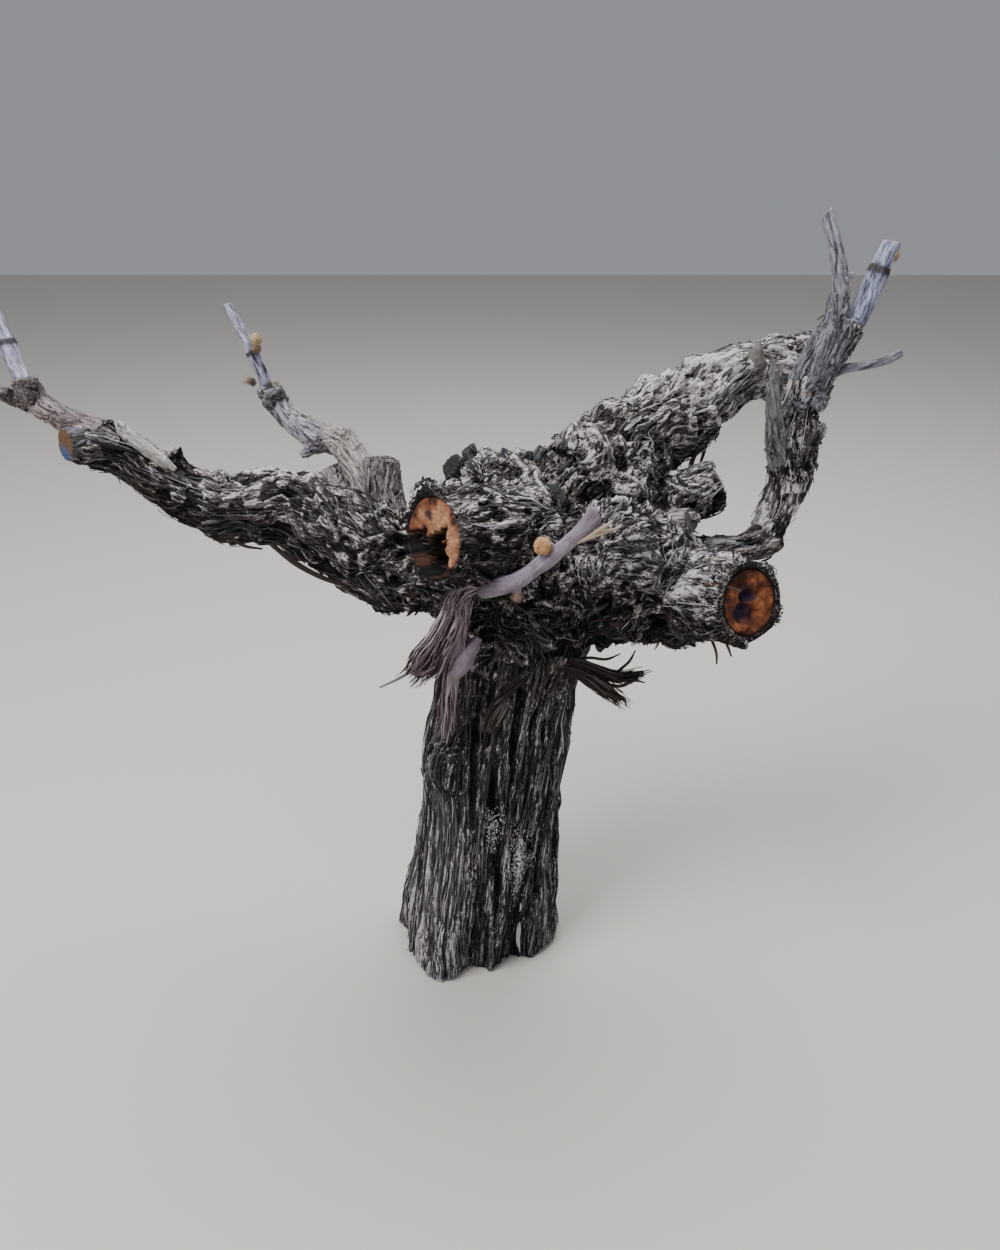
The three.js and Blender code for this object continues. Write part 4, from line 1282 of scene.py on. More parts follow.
def sawn_material(name, dark, wood, bright, heart, rot):
    """Old sawn wood dries to orange-brown, with darker rays; heart and rot have their own colours."""
    material, tree, shader = new_material(name)
    place = add_node(tree, "TexCoord", "Object")
    ray, heart_value, rot_value = (add_node(tree, "Attribute", "Fac", attribute_name=kind)
                                   for kind in ("ray", "heart", "rot"))
    pores = add_node(tree, "TexNoise", "Fac", {"Vector": place, "Scale": 900, "Detail": 4})
    level = add_node(tree, "Math", 0, {0: pores, 1: 0.35, 2: ray}, operation="MULTIPLY_ADD")
    colour = add_node(tree, "ValToRGB", "Color", {"Fac": level}, [(0.3, dark), (0.6, wood), (0.95, bright)])
    for value, stain in ((heart_value, heart), (rot_value, rot)):
        colour = add_node(tree, "Mix", 2, {"Factor": value, 6: colour, 7: stain}, data_type="RGBA")
    rough = add_node(tree, "MapRange", 0, {"Value": pores, "To Min": 0.65, "To Max": 0.95})
    bump = add_node(tree, "Bump", "Normal", {"Height": level, "Strength": 0.6, "Distance": 0.0006})
    fill(tree, shader, {"Base Color": colour, "Roughness": rough, "Normal": bump, "Specular IOR Level": 0.3})
    return material


# each core's stub, depth and shades, its rays' seed and spread, and its material: its name, then its
# dark, plain and bright wood, its heart and its rot, which in the left pocket is partly painted shade
CORES = {
    "front_left_cut": ("front_left_stub", left_sink, left_shades, 70, 0.09, (
        "dry_orange_sawn_wood", "#3c2018", "#7a4a34", "#ab8060", "#2b1628", "#100a08")),
    "right_front_cut": ("right_front_stub", right_sink, right_shades, 74, 0.05, (
        "stained_sawn_wood", "#2c140d", "#5c2d1a", "#935733", "#201833", "#150e0b")),
}
for name, (stub, sink, shades, seed, spread, finish) in CORES.items():
    core = sawn_core(name, stub, sink)
    middle, _, right, upward, radius = cut_axes(stub)
    points = points_of(core)
    bright, heart, rot = shades((points - middle) @ right / radius, (points - middle) @ upward / radius)
    store(core.data, "ray", rays(points, middle, seed, spread) + bright)
    store(core.data, "heart", heart)
    store(core.data, "rot", rot)
    core.data.materials.append(sawn_material(*finish))
    finished(core, "cut_wood", name + "_wood")
    print(name, len(core.data.polygons), "faces")

# %% [markdown]
# ## Spurs and canes
# The wood of the last two winters has no shaggy bark yet. It is smooth and pale, with fine grooves
# and dark specks along the grain, a swollen ring at each node, and a clean pruning cut at its tip.
# Each limb is remeshed on a finer grid than the old wood and lightly grooved.

# %% Spurs and canes
CANE_VOXEL = 0.76
GREY_SPUR = ("#2c2829", "#79727a", "#bdb7bf")
SLEEVE_WOOD = ("#161518", "#47464c", "#8a8890")
BARE_WOOD = ("#3c3836", "#918d89", "#c6c2be")
BLEACHED_SPUR = ("#302c2b", "#7b7573", "#bbb5b1")
BROWN_STUB = ("#1a1717", "#5e5759", "#a39b9d")
PINK_SPUR = ("#251d1e", "#5c5051", "#9a8e8e")
DEAD_SPUR = ("#1d1c1f", "#555358", "#8c898e")
SOOTY_SNAG = ("#121213", "#38373a", "#77767a")
LILAC_CANE = ("#211e2b", "#706f84", "#bcbbd0")
PURPLE_CANE = ("#2a262d", "#6c6772", "#a59fac")
SPECKLED_CANE = ("#363545", "#70738b", "#b7bcd3")
MAUVE_CANE = ("#3d3239", "#6d606c", "#a096a6")
DUSKY_CANE = ("#221f26", "#57535f", "#8d8897")
WEDGE_WOOD = ("#242221", "#504d4c", "#78746d")
BLUE_MAUVE = ("#3f353c", "#665864", "#8c7e8b")
# each kind's layers of grooves, how fibrous it is, how far its streaks shift the tone, and how dark
# the rings at its nodes are
WOOD_KINDS = {
    "spur": ([(1.2, 3.0, 22), (0.9, 1.5, 14)], 1.6, 0.15, 0.5),
    "dead": ([(0.8, 2.2, 24), (0.5, 1.3, 14)], 1.4, 0.15, 0.9),
    "cane": ([(0.3, 2.0, 14), (0.15, 1.2, 8)], 1.1, 0.15, 0.9),
    "smooth": ([(0.35, 3.0, 20), (0.12, 1.4, 8)], 0.4, 0.04, 0.9),
}
FRESH_CUT, GREY_CUT, DARK_CUT = ("#a8978a", "#5d4636"), ("#5d5859", "#383434"), ("#232327", "#141418")
# name: slot, kind, bark's colours, cuts' colours, limbs, burrs, node rings as place and breadth, and
# each limb's cut as place and direction
YOUNG_WOOD = {
    "left_spur": ("spur_wood", "spur", PINK_SPUR, FRESH_CUT, [
        [(-246, -4, 440, 11.5), (-264, 0, 446, 10), (-279, 4, 454, 8.8), (-290, 8, 461, 8.6),
         (-296, 10, 469, 9), (-297, 11, 476, 7.4)],
        [(-290, 7, 458, 5.4), (-305, 4, 465, 4), (-318, 0, 474, 2.8)],
    ], [(-292, 2, 466, 5.5), (-299, 7, 472, 4.5), (-290, 4, 474, 4), (-307, 2, 469, 3.4)],
        [((-294, 9, 467), 6)], []),
    "left_arm_cut": ("cut_wood", "dead", SOOTY_SNAG, ("#6e5033", "#3a5584"), [
        [(-246, -4, 436, 12.5), (-258, -10, 438, 11.5), (-273, -20, 439, 10.5)],
    ], [], [], [((-267, -16, 438.5), (-0.7, -0.7, 0.12))]),
    "bare_strip": ("spur_wood", "dead", BARE_WOOD, GREY_CUT, [
        [(-236, 0, 450, 2), (-232, -3, 446, 4), (-226, -5, 440, 5), (-218, -6, 433.5, 5.2),
         (-209, -6, 426, 4.6), (-200, -5, 418, 2)],
    ], [], [], []),
    "left_cane": ("cane", "cane", LILAC_CANE, FRESH_CUT, [
        [(-297, 11, 472, 7), (-304, 17, 487, 6), (-308, 21, 496, 6.7), (-311, 24, 503, 5.9),
         (-321, 32, 526, 5.2)],
    ], [], [((-308, 21, 496), 2)], [((-320, 31, 524), (-0.2, 0.3, 1))]),
    "upper_left_arm": ("spur_wood", "spur", BLEACHED_SPUR, GREY_CUT, [
        [(-58, 16, 362, 14), (-75, 36, 392, 11.5), (-87, 50, 410, 10.4), (-98, 58, 421, 10.4),
         (-106, 62, 422, 9)],
    ], [(-94, 54, 424, 6)], [], []),
    "upper_left_spur": ("spur_wood", "spur", GREY_SPUR, GREY_CUT, [
        [(-100, 62, 414, 8), (-114, 68, 419, 10.6), (-130, 74, 427, 10), (-144, 80, 439, 9),
         (-150, 83, 449, 8.2)],
        [(-112, 66, 416, 8), (-122, 64, 411, 5), (-128, 62, 408, 2.5)],
    ], [(-150, 76, 443, 5), (-143, 78, 449, 4.4), (-155, 81, 449, 4.4), (-141, 81, 443, 4),
        (-147, 74, 449, 3)], [((-148, 81, 444), 6), ((-106, 64, 414), 7)], []),
    "upper_left_cane": ("cane", "cane", LILAC_CANE, FRESH_CUT, [
        [(-149, 82, 445, 6), (-157, 87, 465, 4.8), (-161, 89, 474, 5.4), (-168, 93, 489, 4.4),
         (-181, 99, 513, 3.9)],
    ], [], [((-162, 89, 476), 1.5), ((-151, 84, 453), 2)], [((-179, 98, 510), (-0.3, 0.2, 1))]),
    "back_left_stub": ("spur_wood", "spur", BROWN_STUB, DARK_CUT, [
        [(-84, 22, 368, 11), (-99, 42, 388, 9.4), (-110, 57, 402, 8.6)],
    ], [], [], [((-108, 54, 399), (-0.5, 0.3, 0.8))]),
    "stub_ridges": ("spur_wood", "spur", BROWN_STUB, GREY_CUT, [
        [(-60, 12, 380, 14), (-62, 17, 396, 13.4), (-63, 19, 409, 13), (-63, 20, 421, 12.4)],
    ], [], [], [((-63, 20, 418), (0.1, 0.25, 1))]),
    "right_arm_sleeve": ("spur_wood", "spur", SLEEVE_WOOD, GREY_CUT, [
        [(234, 41, 454, 12), (237, 43, 466, 15), (244, 46, 482, 15), (251, 49, 496, 14.4),
         (256, 51, 508, 11)],
        [(249, 47, 496, 10), (251, 49, 512, 8.2), (251, 51, 525, 6.8)],
        [(227, 31, 456, 3), (232, 31, 466, 5), (237, 34, 480, 5), (243, 38, 496, 4.4), (246, 42, 507, 2.6)],
    ], [(262, 46, 500, 5), (228, 30, 452, 5), (240, 30, 456, 6)], [], []),
    "front_spur": ("spur_wood", "dead", DEAD_SPUR, GREY_CUT, [
        [(226, 32, 402, 8), (218, 25, 414, 9), (212, 21, 430, 7.6), (208, 18, 446, 6),
         (204, 15, 467, 5), (203, 13, 478, 3)],
        [(205, 15, 462, 4), (202, 13, 476, 3.2), (200, 12, 490, 1.2)],
        [(207, 16, 462, 3.6), (207, 14, 476, 2.6), (206, 13, 486, 0.9)],
    ], [(214, 20, 436, 5), (210, 20, 424, 4)], [], []),
    "side_stub": ("spur_wood", "dead", GREY_SPUR, GREY_CUT, [
        [(233, 36, 410, 5), (240, 40, 427, 3.9), (244, 44, 443, 3.5)],
    ], [], [], [((244, 44, 442), (0.2, 0.2, 1))]),
    "left_upright_cane": ("cane", "cane", PURPLE_CANE, FRESH_CUT, [
        [(251, 48, 502, 8), (251, 50, 524, 6.2), (248, 53, 542, 5.6), (243, 56, 558, 5.2),
         (236, 60, 576, 5)],
    ], [(256, 50, 536, 2)], [((251, 50, 521), 0.8)], [((237, 60, 574), (-0.7, 0.5, 0.6))]),
    "right_upright_cane": ("cane", "cane", SPECKLED_CANE, FRESH_CUT, [
        [(257, 52, 494, 9), (268, 58, 508, 8), (275, 63, 523, 7.6), (280, 67, 534, 7.8), (282, 68, 540, 7),
         (290, 74, 557, 6.6)],
    ], [(261, 48, 503, 5), (256, 47, 497, 4)], [((281, 67, 537), 2.6), ((258, 50, 497), 5)],
        [((289, 73, 555), (0.2, 0.15, 1))]),
    "side_shoot": ("cane", "cane", DUSKY_CANE, FRESH_CUT, [
        [(246, 44, 470, 5), (262, 44, 475, 3.8), (277, 42, 478, 3.5), (288, 40, 482, 3.4),
         (296, 38, 488, 3.2)],
    ], [], [], [((295, 38, 487), (0.8, 0.3, 0.3))]),
    "front_shoot": ("cane", "smooth", MAUVE_CANE, ("#6b5d62", "#4a3d40"), [
        [(4, -62, 356, 4), (10, -71, 360, 6.6), (19, -78, 365, 6.6), (31, -83, 371, 5.7),
         (40, -86, 379, 5.2), (49, -90, 388, 5.9), (58, -92, 397, 4.9), (68, -94, 408, 4.8),
         (80, -96, 424, 6)],
        [(49, -90, 388, 3.6), (47, -93, 394, 2.6)], [(30, -81, 370, 4), (31, -83, 362, 3)],
    ], [(6, -62, 356, 7)], [((10, -64, 360), 5)], [((78, -96, 421), (0.8, 0.35, 0.5))]),
    "mauve_stub": ("peeled_bark", "smooth", BLUE_MAUVE, GREY_CUT, [
        [(-13, -60, 286, 4), (-10, -63, 295, 7.4), (-5, -65, 303, 7.8), (0, -64, 311, 6),
         (6, -61, 319, 3.2)],
    ], [], [], []),
    "pale_snags": ("spur_wood", "dead", BROWN_STUB, GREY_CUT, [
        [(10, 24, 400, 12), (9, 21, 410, 12), (9, 19, 421, 11.4)],
        [(124, -15, 377, 11), (138, -22, 385, 10), (154, -28, 393, 7.5)],
        [(44, -24, 392, 9), (43, -33, 400, 8.4), (43, -42, 406, 8)],
    ], [], [], [((9, 20, 418), (0.05, -0.35, 1)),
                ((149, -26, 390.5), (0.7, -0.55, 0.45)), ((43, -38, 404), (-0.1, -0.8, 0.6))]),
    "dark_snags": ("spur_wood", "dead", SOOTY_SNAG, DARK_CUT, [
        [(-2, 28, 398, 10), (-10, 19, 409, 9.5), (-16, 12, 418, 9)],
        [(4, 26, 404, 6.5), (1, 22, 416, 6), (-3, 18, 429, 5.4)],
        [(23, 12, 402, 3.4), (23, 10, 415, 3), (23, 9, 432, 2.8)],
        [(44, 24, 406, 7), (47, 20, 417, 6), (52, 16, 429, 5)],
        [(39, 24, 406, 5), (40, 20, 416, 4), (40, 15, 426, 3)],
        [(58, -8, 392, 11), (54, -20, 402, 10.6), (52, -32, 409, 10)],
    ], [], [], [((-14, 13, 415), (-0.7, -0.35, 0.6)), ((-2, 18, 427), (-0.6, 0.1, 0.8)),
                ((23, 9, 429), (0.3, 0.2, 1)), ((50, 17, 427), (0.5, 0.1, 0.9)),
                ((40, 16, 424), (-0.3, 0, 1)), ((53, -26, 406), (0.1, -0.62, 0.75))]),
    "rear_wound": ("spur_wood", "smooth", WEDGE_WOOD, GREY_CUT, [
        [(212, 98, 482, 2), (210, 95, 475, 6), (209, 94, 467, 10), (208, 98, 459, 10.5),
         (210, 105, 452, 6)],
    ], [], [], []),
}
# middle and reach of the stain on a cut, where it isn't the pith
STAINS = {"left_arm_cut": ((-268, -17, 430), 8)}
PITH_REACH = 2.4
# how far young wood's shapes are drawn in before its grooves are raised, and the skin of a cut
YOUNG_GROW, CUT_SKIN = -0.5, 0.55
# how far young wood's grain wanders and in what cells, and how far a burr's roughness reaches
YOUNG_WANDER, YOUNG_CELL, BURR_REACH = 0.25, 9, 7


def sawn_off(shape, place, facing):
    """Cuts the end of a shape off flat, as secateurs do."""
    select_only(shape)
    finish_edit(lambda: bpy.ops.mesh.bisect(plane_co=Vector(place) * MM, plane_no=facing, use_fill=True,
                                            clear_outer=True))


def wood_material(name, fibrous, bark_colours, cut_colours):
    """Smooth young bark: silky, specked with dark along the grain. Cuts show raw wood and its pith."""
    dark, base, pale = bark_colours
    raw_wood, pith_colour = cut_colours
    material, tree, shader = new_material(name)
    place = add_node(tree, "TexCoord", "Object")
    level, ring, cut, pith, crest_value = (add_node(tree, "Attribute", "Fac", attribute_name=kind)
                                           for kind in ("tone", "ring", "cut", "pith", "crest"))
    mottle = add_node(tree, "TexNoise", "Fac", {"Vector": place, "Scale": 700, "Detail": 4, "Roughness": 0.6})
    broad = add_node(tree, "TexNoise", "Fac", {"Vector": place, "Scale": 110, "Detail": 2})
    strand = add_node(tree, "Attribute", "Vector", attribute_name="strand")
    fibres = add_node(tree, "TexNoise", "Fac", {"Vector": strand, "Scale": 1.0, "Detail": 3,
                                                "Roughness": 0.66})
    # the crest attribute makes ridges paler and grooves darker: a painted highlight and painted shade
    for value, share in ((mottle, 0.3), (crest_value, 0.5), (broad, 0.35), (fibres, fibrous)):
        level = add_node(tree, "Math", 0, {0: value, 1: share, 2: level}, operation="MULTIPLY_ADD")
    level = add_node(tree, "Math", 0, {0: level, 1: 0.55 + 0.5 * fibrous}, operation="SUBTRACT")
    bark = add_node(tree, "ValToRGB", "Color", {"Fac": level}, [(0.16, dark), (0.42, base), (0.85, pale)])
    bark = add_node(tree, "Mix", 2, {"Factor": ring, 6: bark, 7: "#241f1e"}, data_type="RGBA")
    checks = add_node(tree, "TexNoise", "Fac", {"Vector": place, "Scale": 260, "Detail": 5,
                                                "Roughness": 0.75})
    checks = add_node(tree, "MapRange", 0, {"Value": checks, "From Min": 0.4, "From Max": 0.62,
                                            "To Min": 0.45, "To Max": 0.0})
    raw = add_node(tree, "Mix", 2, {"Factor": pith, 6: raw_wood, 7: pith_colour}, data_type="RGBA")
    raw = add_node(tree, "Mix", 2, {"Factor": checks, 6: raw, 7: "#1d1614"}, data_type="RGBA")
    colour = add_node(tree, "Mix", 2, {"Factor": cut, 6: bark, 7: raw}, data_type="RGBA")
    rough = add_node(tree, "MapRange", 0, {"Value": mottle, "To Min": 0.5, "To Max": 0.8})
    bump = add_node(tree, "Bump", "Normal", {"Height": fibres, "Strength": 0.75 * fibrous,
                                             "Distance": 0.0008})
    fill(tree, shader, {"Base Color": colour, "Roughness": rough, "Normal": bump, "Specular IOR Level": 0.35})
    return material


def near_any(points, places, width):
    """How near points are to any of some places, from 0 to 1."""
    if not places:
        return np.zeros(len(points))
    return np.exp(-np.min([far(points, place, 3 * [width]) for place in places], axis=0) ** 2)


def ring_at(points, place, breadth, line, seed):
    """A ragged band round a limb, from 0 to 1."""
    path, radii, _, tangents = line
    middle = ((path - np.array(place)) ** 2).sum(1).argmin()
    offset = points - np.array(place)
    along = np.abs(offset @ tangents[middle]) + 0.5 * noise(points / 2.2, seed)
    return ease(1.6 - along / breadth) * (np.linalg.norm(offset, axis=1) < 2.4 * radii[middle] + breadth)


def young_wood(name, slot_name, kind, bark_colours, cut_colours, limbs, burrs, rings, cuts, seed):
    """One piece of young wood: its limbs, burrs, rings and cuts, as the recipe gives them."""
    grooves, fibrous, tone_spread, ring_shade = WOOD_KINDS[kind]
    facing = LIMB_FACINGS.get(name, USUAL_FACING)
    shapes = [limb("young_shape", stations, rough=0.05, around=28, seed=seed + i, step=2, grow=YOUNG_GROW,
                   facing=facing) for i, stations in enumerate(limbs)]
    for shape, (place, outward) in zip(shapes, cuts):
        sawn_off(shape, place, outward)
    skin = remeshed(shapes + [round_mass(*one) for one in burrs], name + "_wood", CANE_VOXEL, 3)
    points, normals = points_of(skin), normals_of(skin)
    lines = [middle_line(stations, 2) for stations in limbs]
    direction, weights, _ = grain_at(points, normals, lines, burrs, YOUNG_WANDER, YOUNG_CELL)
    burr = near_any(points, [one[:3] for one in burrs], BURR_REACH)
    cut = np.zeros(len(points))
    for (place, outward), stations in zip(cuts, limbs):
        depth = -(points - np.array(place)) @ unit(np.array(outward, float))
        beside = np.linalg.norm(points - place, axis=1) < 1.5 * stations[-1][3] + 1
        cut = np.maximum(cut, (depth < CUT_SKIN) * beside)
    ring = np.max([ring_at(points, place, breadth, lines[0], seed) for place, breadth in rings]
                  or [np.zeros(len(points))], axis=0)
    height = relief_of(points, direction, grooves, seed)
    height += burr * (1.1 * np.abs(noise(points / 2.6, seed)) - 0.5)
    height = height * (1 - cut) + 0.35 * ring - 0.5 * cut * np.abs(noise(points / 1.9, seed + 2))
    moved = points + normals * height[:, None]
    set_points(skin, moved)
    stains = [STAINS[name]] if name in STAINS else [(place, PITH_REACH) for place, _ in cuts]
    looks = {
        "crest": crest_of(moved, normals_of(skin), edge_array(skin.data), 6, 0.8),
        "tone": 0.5 + tone_spread * streaks(moved, direction, 1.3, 7, seed + 5),
        "ring": np.clip(ring_shade * ring + 0.15 * burr, 0, 1), "cut": cut,
        "pith": np.max([near_any(points, [place], reach) for place, reach in stains] or [cut], axis=0),
        "strand": strand_places(moved, weights.argmax(0), lines, [facing] * len(lines)),
    }
    for attribute, values in looks.items():
        store(skin.data, attribute, values)
    skin.data.materials.append(wood_material(name + "_skin", fibrous, bark_colours, cut_colours))
    return finished(skin, slot_name, *([name] if name in frame["nodes"] else []))


for seed, (name, recipe) in enumerate(YOUNG_WOOD.items(), 101):
    made = young_wood(name, *recipe, seed)
    print(made.name, len(made.data.polygons) * 2, "triangles")

# %% [markdown]
# ## Buds
# A vine's winter bud is a tuft of cream wool that bursts from two brown scales. The wool is a ball of
# short soft fibres over a core, and it scatters light, so it looks brighter than the wood.

# %% Buds
# each bud's middle, half sizes and colour
WOOLLY_BUDS = [
    ((46, -94, 399), (5.2, 4.8, 5.3), "#e0a664"), ((-158, 88, 486), (3.9, 3.8, 4.4), "#d9bb8c"),
    ((-167, 83, 458), (2.4, 2.3, 2.6), "#d8cdb8"), ((-146, 82, 455), (2.0, 2.0, 2.6), "#c2c0b0"),
    ((290, 68, 546), (3.0, 2.8, 3.4), "#a8927c"), ((31, -84, 360), (2.6, 2.5, 2.8), "#8f6f60"),
]
# the brown scales that the wool has burst from
BUD_SCALES = [((-159, 88, 480), (3.6, 3.5, 3.6), "#8a6b4d"), ((-163, 84, 456), (1.9, 1.8, 1.8), "#2e2624")]
# the wool's fibres on one bud, their length and their half width
WOOL_FIBRES, WOOL_LENGTH, WOOL_HALF = 150, 2.0, 0.16


def wool_material(name, colour):
    """Wool that is brown between its tufts and scatters light."""
    material, tree, shader = new_material(name)
    place = add_node(tree, "TexCoord", "Object")
    tufts = add_node(tree, "TexNoise", "Fac", {"Vector": place, "Scale": 1500, "Detail": 3})
    shade = add_node(tree, "MapRange", 0, {"Value": tufts, "From Min": 0.3, "From Max": 0.7,
                                           "To Min": 0.2, "To Max": 1.0})
    colour = add_node(tree, "Mix", 2, {"Factor": shade, 6: "#7d5c3a", 7: colour}, data_type="RGBA")
    rough = add_node(tree, "MapRange", 0, {"Value": tufts, "To Min": 0.8, "To Max": 1.0})
    bump = add_node(tree, "Bump", "Normal", {"Height": tufts, "Strength": 1.0, "Distance": 0.0008})
    fill(tree, shader, {"Base Color": colour, "Roughness": rough, "Normal": bump, "Sheen Weight": 0.5})
    return material


def fibres_on(rng, centre, radii, count, length, half):
    """Short fibres that stand out of a ball in all directions."""
    outward = unit(rng.standard_normal((count, 3)))
    root = np.array(centre) + outward * np.array(radii) * 0.85
    lean = unit(outward + 0.5 * rng.standard_normal((count, 3)))
    shares = np.linspace(0, 1, 3)[None, :, None]
    centres = root[:, None] + (outward[:, None] * (1 - shares) + lean[:, None] * shares) * length * shares
    normals = np.repeat(unit(np.cross(lean, rng.standard_normal((count, 3))))[:, None], 3, axis=1)
    widths = half * np.array([[1.0, 0.8, 0.35]]) * np.ones((count, 1))
    return ribbon_mesh(centres, normals, widths, widths * 0.2, half)


rng = np.random.default_rng(5)
for number, (centre, radii, colour) in enumerate(WOOLLY_BUDS + BUD_SCALES, 1):
    bpy.ops.mesh.primitive_ico_sphere_add(subdivisions=4, radius=1)
    ball = bpy.context.object
    ball.name = ball.data.name = "woolly_bud_%d" % number
    sphere = points_of(ball, 1)
    lumps = 1 + 0.08 * noise(sphere * 2.2, number) + 0.07 * noise(sphere * 5, number + 3)
    set_points(ball, sphere * lumps[:, None] * np.array(radii) + np.array(centre))
    wool = wool_material("bud_wool_%d" % number, colour)
    fibres = fibres_on(rng, centre, radii, WOOL_FIBRES, WOOL_LENGTH, WOOL_HALF)
    for piece in (ball, joined_ribbons("bud_fuzz_%d" % number, [fibres])):
        piece.data.materials.append(wool)
        finished(piece, "cane")
print("woolly buds:", len(WOOLLY_BUDS), "scales:", len(BUD_SCALES))

# %% [markdown]
# ## Peeled bark
# Under the left cut a sheet of bark has come away and hangs as two flat bundles of fibres, and a third
# wraps the base of the front shoot. A stiffer flap stands out at the right of the head's underside.
# Each bundle is a flat core wrapped in long ribbons, whose lower ends are frayed to uneven lengths.

# %% Peeled bark
# each tint's name, colour and share of the fibres
MAUVE_TINTS = [("mauve_fibre", "#73626a", 0.4), ("pale_fibre", "#a3949d", 0.3),
               ("dark_fibre", "#2a2021", 0.3)]
BROWN_TINTS = [("brown_fibre", "#37302e", 0.5), ("grey_fibre", "#67605e", 0.22),
               ("black_fibre", "#171312", 0.28)]
# tints, flatness, facing, fray, and the bundles' stations and counts of fibres
BUNDLES = {
    "hanging_bark": (MAUVE_TINTS, 0.36, (0.1, 1, 0), 2.6, [
        ([(-3, -65, 366, 7), (-9, -68, 344, 7), (-18, -70, 324, 8.6), (-28, -70, 307, 9),
          (-38, -69, 294, 5)], 300),
        ([(-4, -66, 352, 6), (-8, -67, 326, 5.2), (-13, -65, 298, 5.4), (-17, -61, 268, 4.6),
          (-19, -56, 240, 3)], 180),
        ([(20, -60, 360, 4), (10, -69, 363, 6), (-2, -75, 363, 7), (-9, -75, 354, 5.6),
          (-11, -70, 340, 4)], 170),
    ]),
    "bark_flap": (BROWN_TINTS, 0.45, (0.4, 0.3, 1), 2.2, [
        ([(12, -50, 236, 5), (22, -50, 262, 7), (38, -44, 283, 8), (58, -38, 287, 9), (80, -27, 272, 9.4),
          (96, -17, 254, 8.6), (108, -8, 240, 6)], 330),
        ([(40, -40, 289, 6), (64, -36, 290, 6.4), (88, -24, 274, 6), (108, -16, 262, 5),
          (124, -10, 262, 3)], 150),
    ]),
}
FIBRE_STATIONS = 10
# how far a core is flatter than the fibres round it, and the cell that joins its shapes
CORE_THINNER, BUNDLE_VOXEL = 0.8, 1.0


def flat_limb(name, stations, thin, facing, seed):
    """A limb that is pressed flat towards its facing side."""
    piece = limb(name, stations, around=24, seed=seed, facing=facing, step=3, rough=0.12)
    line, _, _, tangents = middle_line(stations, 2)
    points = points_of(piece)
    near = ((points[:, None] - line[None]) ** 2).sum(2).argmin(1)
    side = unit(np.cross(tangents[near], unit(np.array(facing, float))))
    front = unit(np.cross(side, tangents[near]))
    offset = ((points - line[near]) * front).sum(1)
    set_points(piece, points - front * (offset * (1 - thin))[:, None])
    return piece


def bundle(rng, stations, count, thin, facing, fray):
    """Ribbons round a flat limb. fray is how far, in millimetres, their ends stray."""
    line, radii, _, tangents = middle_line(stations, 2)
    whole, size = np.linspace(0, 1, len(line)), (count, FIBRE_STATIONS)
    begin, end = rng.uniform(0, 0.35, count), rng.uniform(0.6, 1.06, count)
    share = begin[:, None] + (end - begin)[:, None] * np.linspace(0, 1, FIBRE_STATIONS)[None]
    inner = np.clip(share, 0, 1)
    centre = between(inner, whole, line)
    tangent = unit(between(inner, whole, tangents))
    centre += tangent * ((share - inner) * len(line) * 2)[:, :, None]
    side = unit(np.cross(tangent, unit(np.array(facing, float))))
    front = np.cross(side, tangent)
    angle = rng.uniform(0, 2 * np.pi, count)[:, None] + np.cumsum(rng.normal(0, 0.07, size), axis=1)
    swell = rng.uniform(0.85, 1.2, count)[:, None] + 0.9 * np.maximum(share - 0.6, 0)
    radius = np.interp(inner, whole, radii) * swell
    outward = side * np.cos(angle)[:, :, None] + front * (thin * np.sin(angle))[:, :, None]
    normals = unit(side * (thin * np.cos(angle))[:, :, None] + front * np.sin(angle)[:, :, None])
    outline = np.sin(np.pi * np.linspace(0.12, 0.95, FIBRE_STATIONS)) ** 0.5
    half = (0.2 + 0.9 * rng.random(count) ** 2.4)[:, None] * outline
    stray = np.cumsum(rng.normal(0, 0.3, (*size, 3)), axis=1) * (0.3 + fray * inner[:, :, None] ** 3)
    edge = half * rng.uniform(-0.2, 0.5, count)[:, None]
    return ribbon_mesh(centre + outward * radius[:, :, None] + stray, normals, half, edge, 0.5)


rng = np.random.default_rng(17)
for name, (tints, thin, facing, fray, parts) in BUNDLES.items():
    cores = [flat_limb("core_shape", stations, CORE_THINNER * thin, facing, i)
             for i, (stations, _) in enumerate(parts)]
    core = remeshed(cores, name + "_core", BUNDLE_VOXEL, 2)
    materials = [tint_material(name + "_" + tint, colour, 700) for tint, colour, _ in tints]
    core.data.materials.append(materials[0])
    finished(core, "peeled_bark", name)
    made = [bundle(rng, stations, count, thin, facing, fray) for stations, count in parts]
    deals = [rng.choice(len(tints), len(corners), p=[tint[2] for tint in tints]) for corners in made]
    for number, (tint, _, _) in enumerate(tints):
        fibres = [corners[deal == number] for corners, deal in zip(made, deals)]
        piece = joined_ribbons(name + "_" + tint, fibres)
        piece.data.materials.append(materials[number])
        finished(piece, "peeled_bark")
    print(name, sum(len(corners) for corners in made), "ribbons")

# %% [markdown]
# ## Small stray pieces
# A few thin rootlets hang from the right stub, a torn sliver of pale wood stands by the tip of the
# front shoot, single strings of bark hang free below the arms, dead twigs stick out by the flap, and
# bare white wood shows in a crack at the foot. They are thin limbs, each of its own few stations.

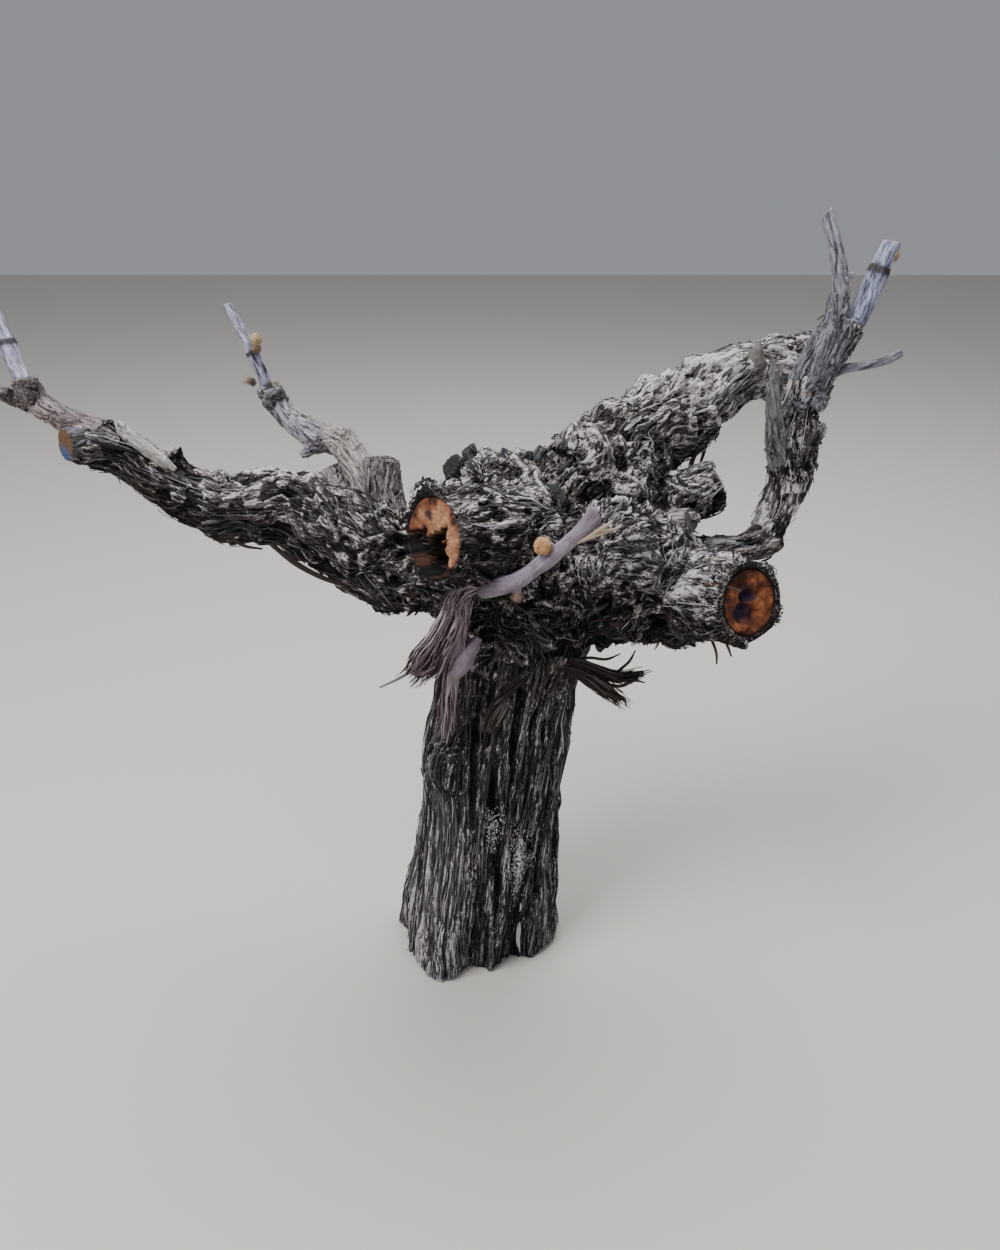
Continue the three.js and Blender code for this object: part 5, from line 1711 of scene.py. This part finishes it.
# %% Small stray pieces
# name: material, colour, slot and limbs
STRAYS = {
    "rootlets": ("weathered_root", "#4a3b36", "old_bark", [
        [(153, -66, 336, 1.3), (159, -73, 325, 1.1), (163, -76, 315, 0.9), (164, -76, 307, 0.6)],
        [(164, -76, 331, 1.1), (169, -79, 322, 0.9), (172, -80, 315, 0.6)],
        [(150, -78, 366, 1.2), (161, -83, 367, 1.0), (172, -86, 365, 0.7)],
        [(173, 60, 420, 1.0), (169, 52, 412, 1.2), (165, 45, 403, 0.8)],
    ]),
    "torn_sliver": ("raw_torn_wood", "#b9a48f", "cane", [
        [(66, -95, 402, 1.6), (78, -97, 408, 1.9), (90, -96, 411, 0.7)],
        [(70, -96, 404, 1.0), (80, -99, 412, 1.2), (87, -99, 417, 0.5)],
    ]),
    "hanging_strings": ("dark_bark_string", "#2d2422", "old_bark", [
        [(-138, -16, 368, 1.6), (-122, -22, 357, 2.0), (-108, -26, 350, 1.8), (-92, -28, 344, 1.4),
         (-80, -26, 342, 0.8)],
        [(161, 40, 416, 1.4), (157, 34, 410, 1.8), (155, 30, 402, 1.0)],
        [(-172, -4, 372, 1.0), (-160, -8, 364, 1.2), (-146, -10, 362, 0.7)],
    ]),
    "bark_thread": ("grey_bark_thread", "#6f686b", "peeled_bark", [
        [(-30, -70, 306, 1.2), (-36, -69, 300, 1.3), (-48, -69, 292, 1.0), (-62, -68, 284, 0.6)],
    ]),
    "foot_scar": ("bare_white_wood", "#a19d9c", "trunk_bark", [
        [(36, -55, 80, 0.3), (36.4, -56, 76, 0.8), (35.6, -56, 72, 0.3)],
        [(34.2, -57, 60, 0.3), (34, -58, 53, 0.9), (33.6, -58, 44, 0.7), (34, -59, 38, 0.3)],
        [(35.6, -57, 62, 0.3), (35.8, -58, 54, 0.9), (35.1, -58, 46, 1.0), (35.4, -59, 38, 0.8),
         (36, -59, 32, 0.3)],
    ]),
    "flap_twigs": ("dead_twig", "#4c4442", "old_bark", [
        [(92, -20, 262, 1.8), (101, -17, 261, 1.4), (108, -13, 266, 1.1), (116, -9, 272, 1.0),
         (120, -7, 280, 0.5)],
        [(98, -16, 256, 1.6), (110, -15, 254, 1.3), (120, -14, 258, 1.1), (128, -12, 255, 0.5)],
        [(96, -14, 252, 1.8), (104, -12, 243, 1.6), (113, -8, 240, 1.2), (116, -8, 232, 0.6)],
        [(70, -30, 284, 1.4), (84, -26, 284, 1.2), (98, -19, 279, 1.1), (108, -16, 282, 0.5)],
    ]),
}
for name, (material_name, colour, slot_name, limbs) in STRAYS.items():
    shapes = [limb(name, stations, around=10, step=2, rough=0.1, seed=i) for i, stations in enumerate(limbs)]
    select_only(*shapes)
    if len(shapes) > 1:
        bpy.ops.object.join()
    piece = bpy.context.object
    piece.data.materials.append(tint_material(material_name, colour, 800))
    finished(piece, slot_name)
print("strays:", list(STRAYS))
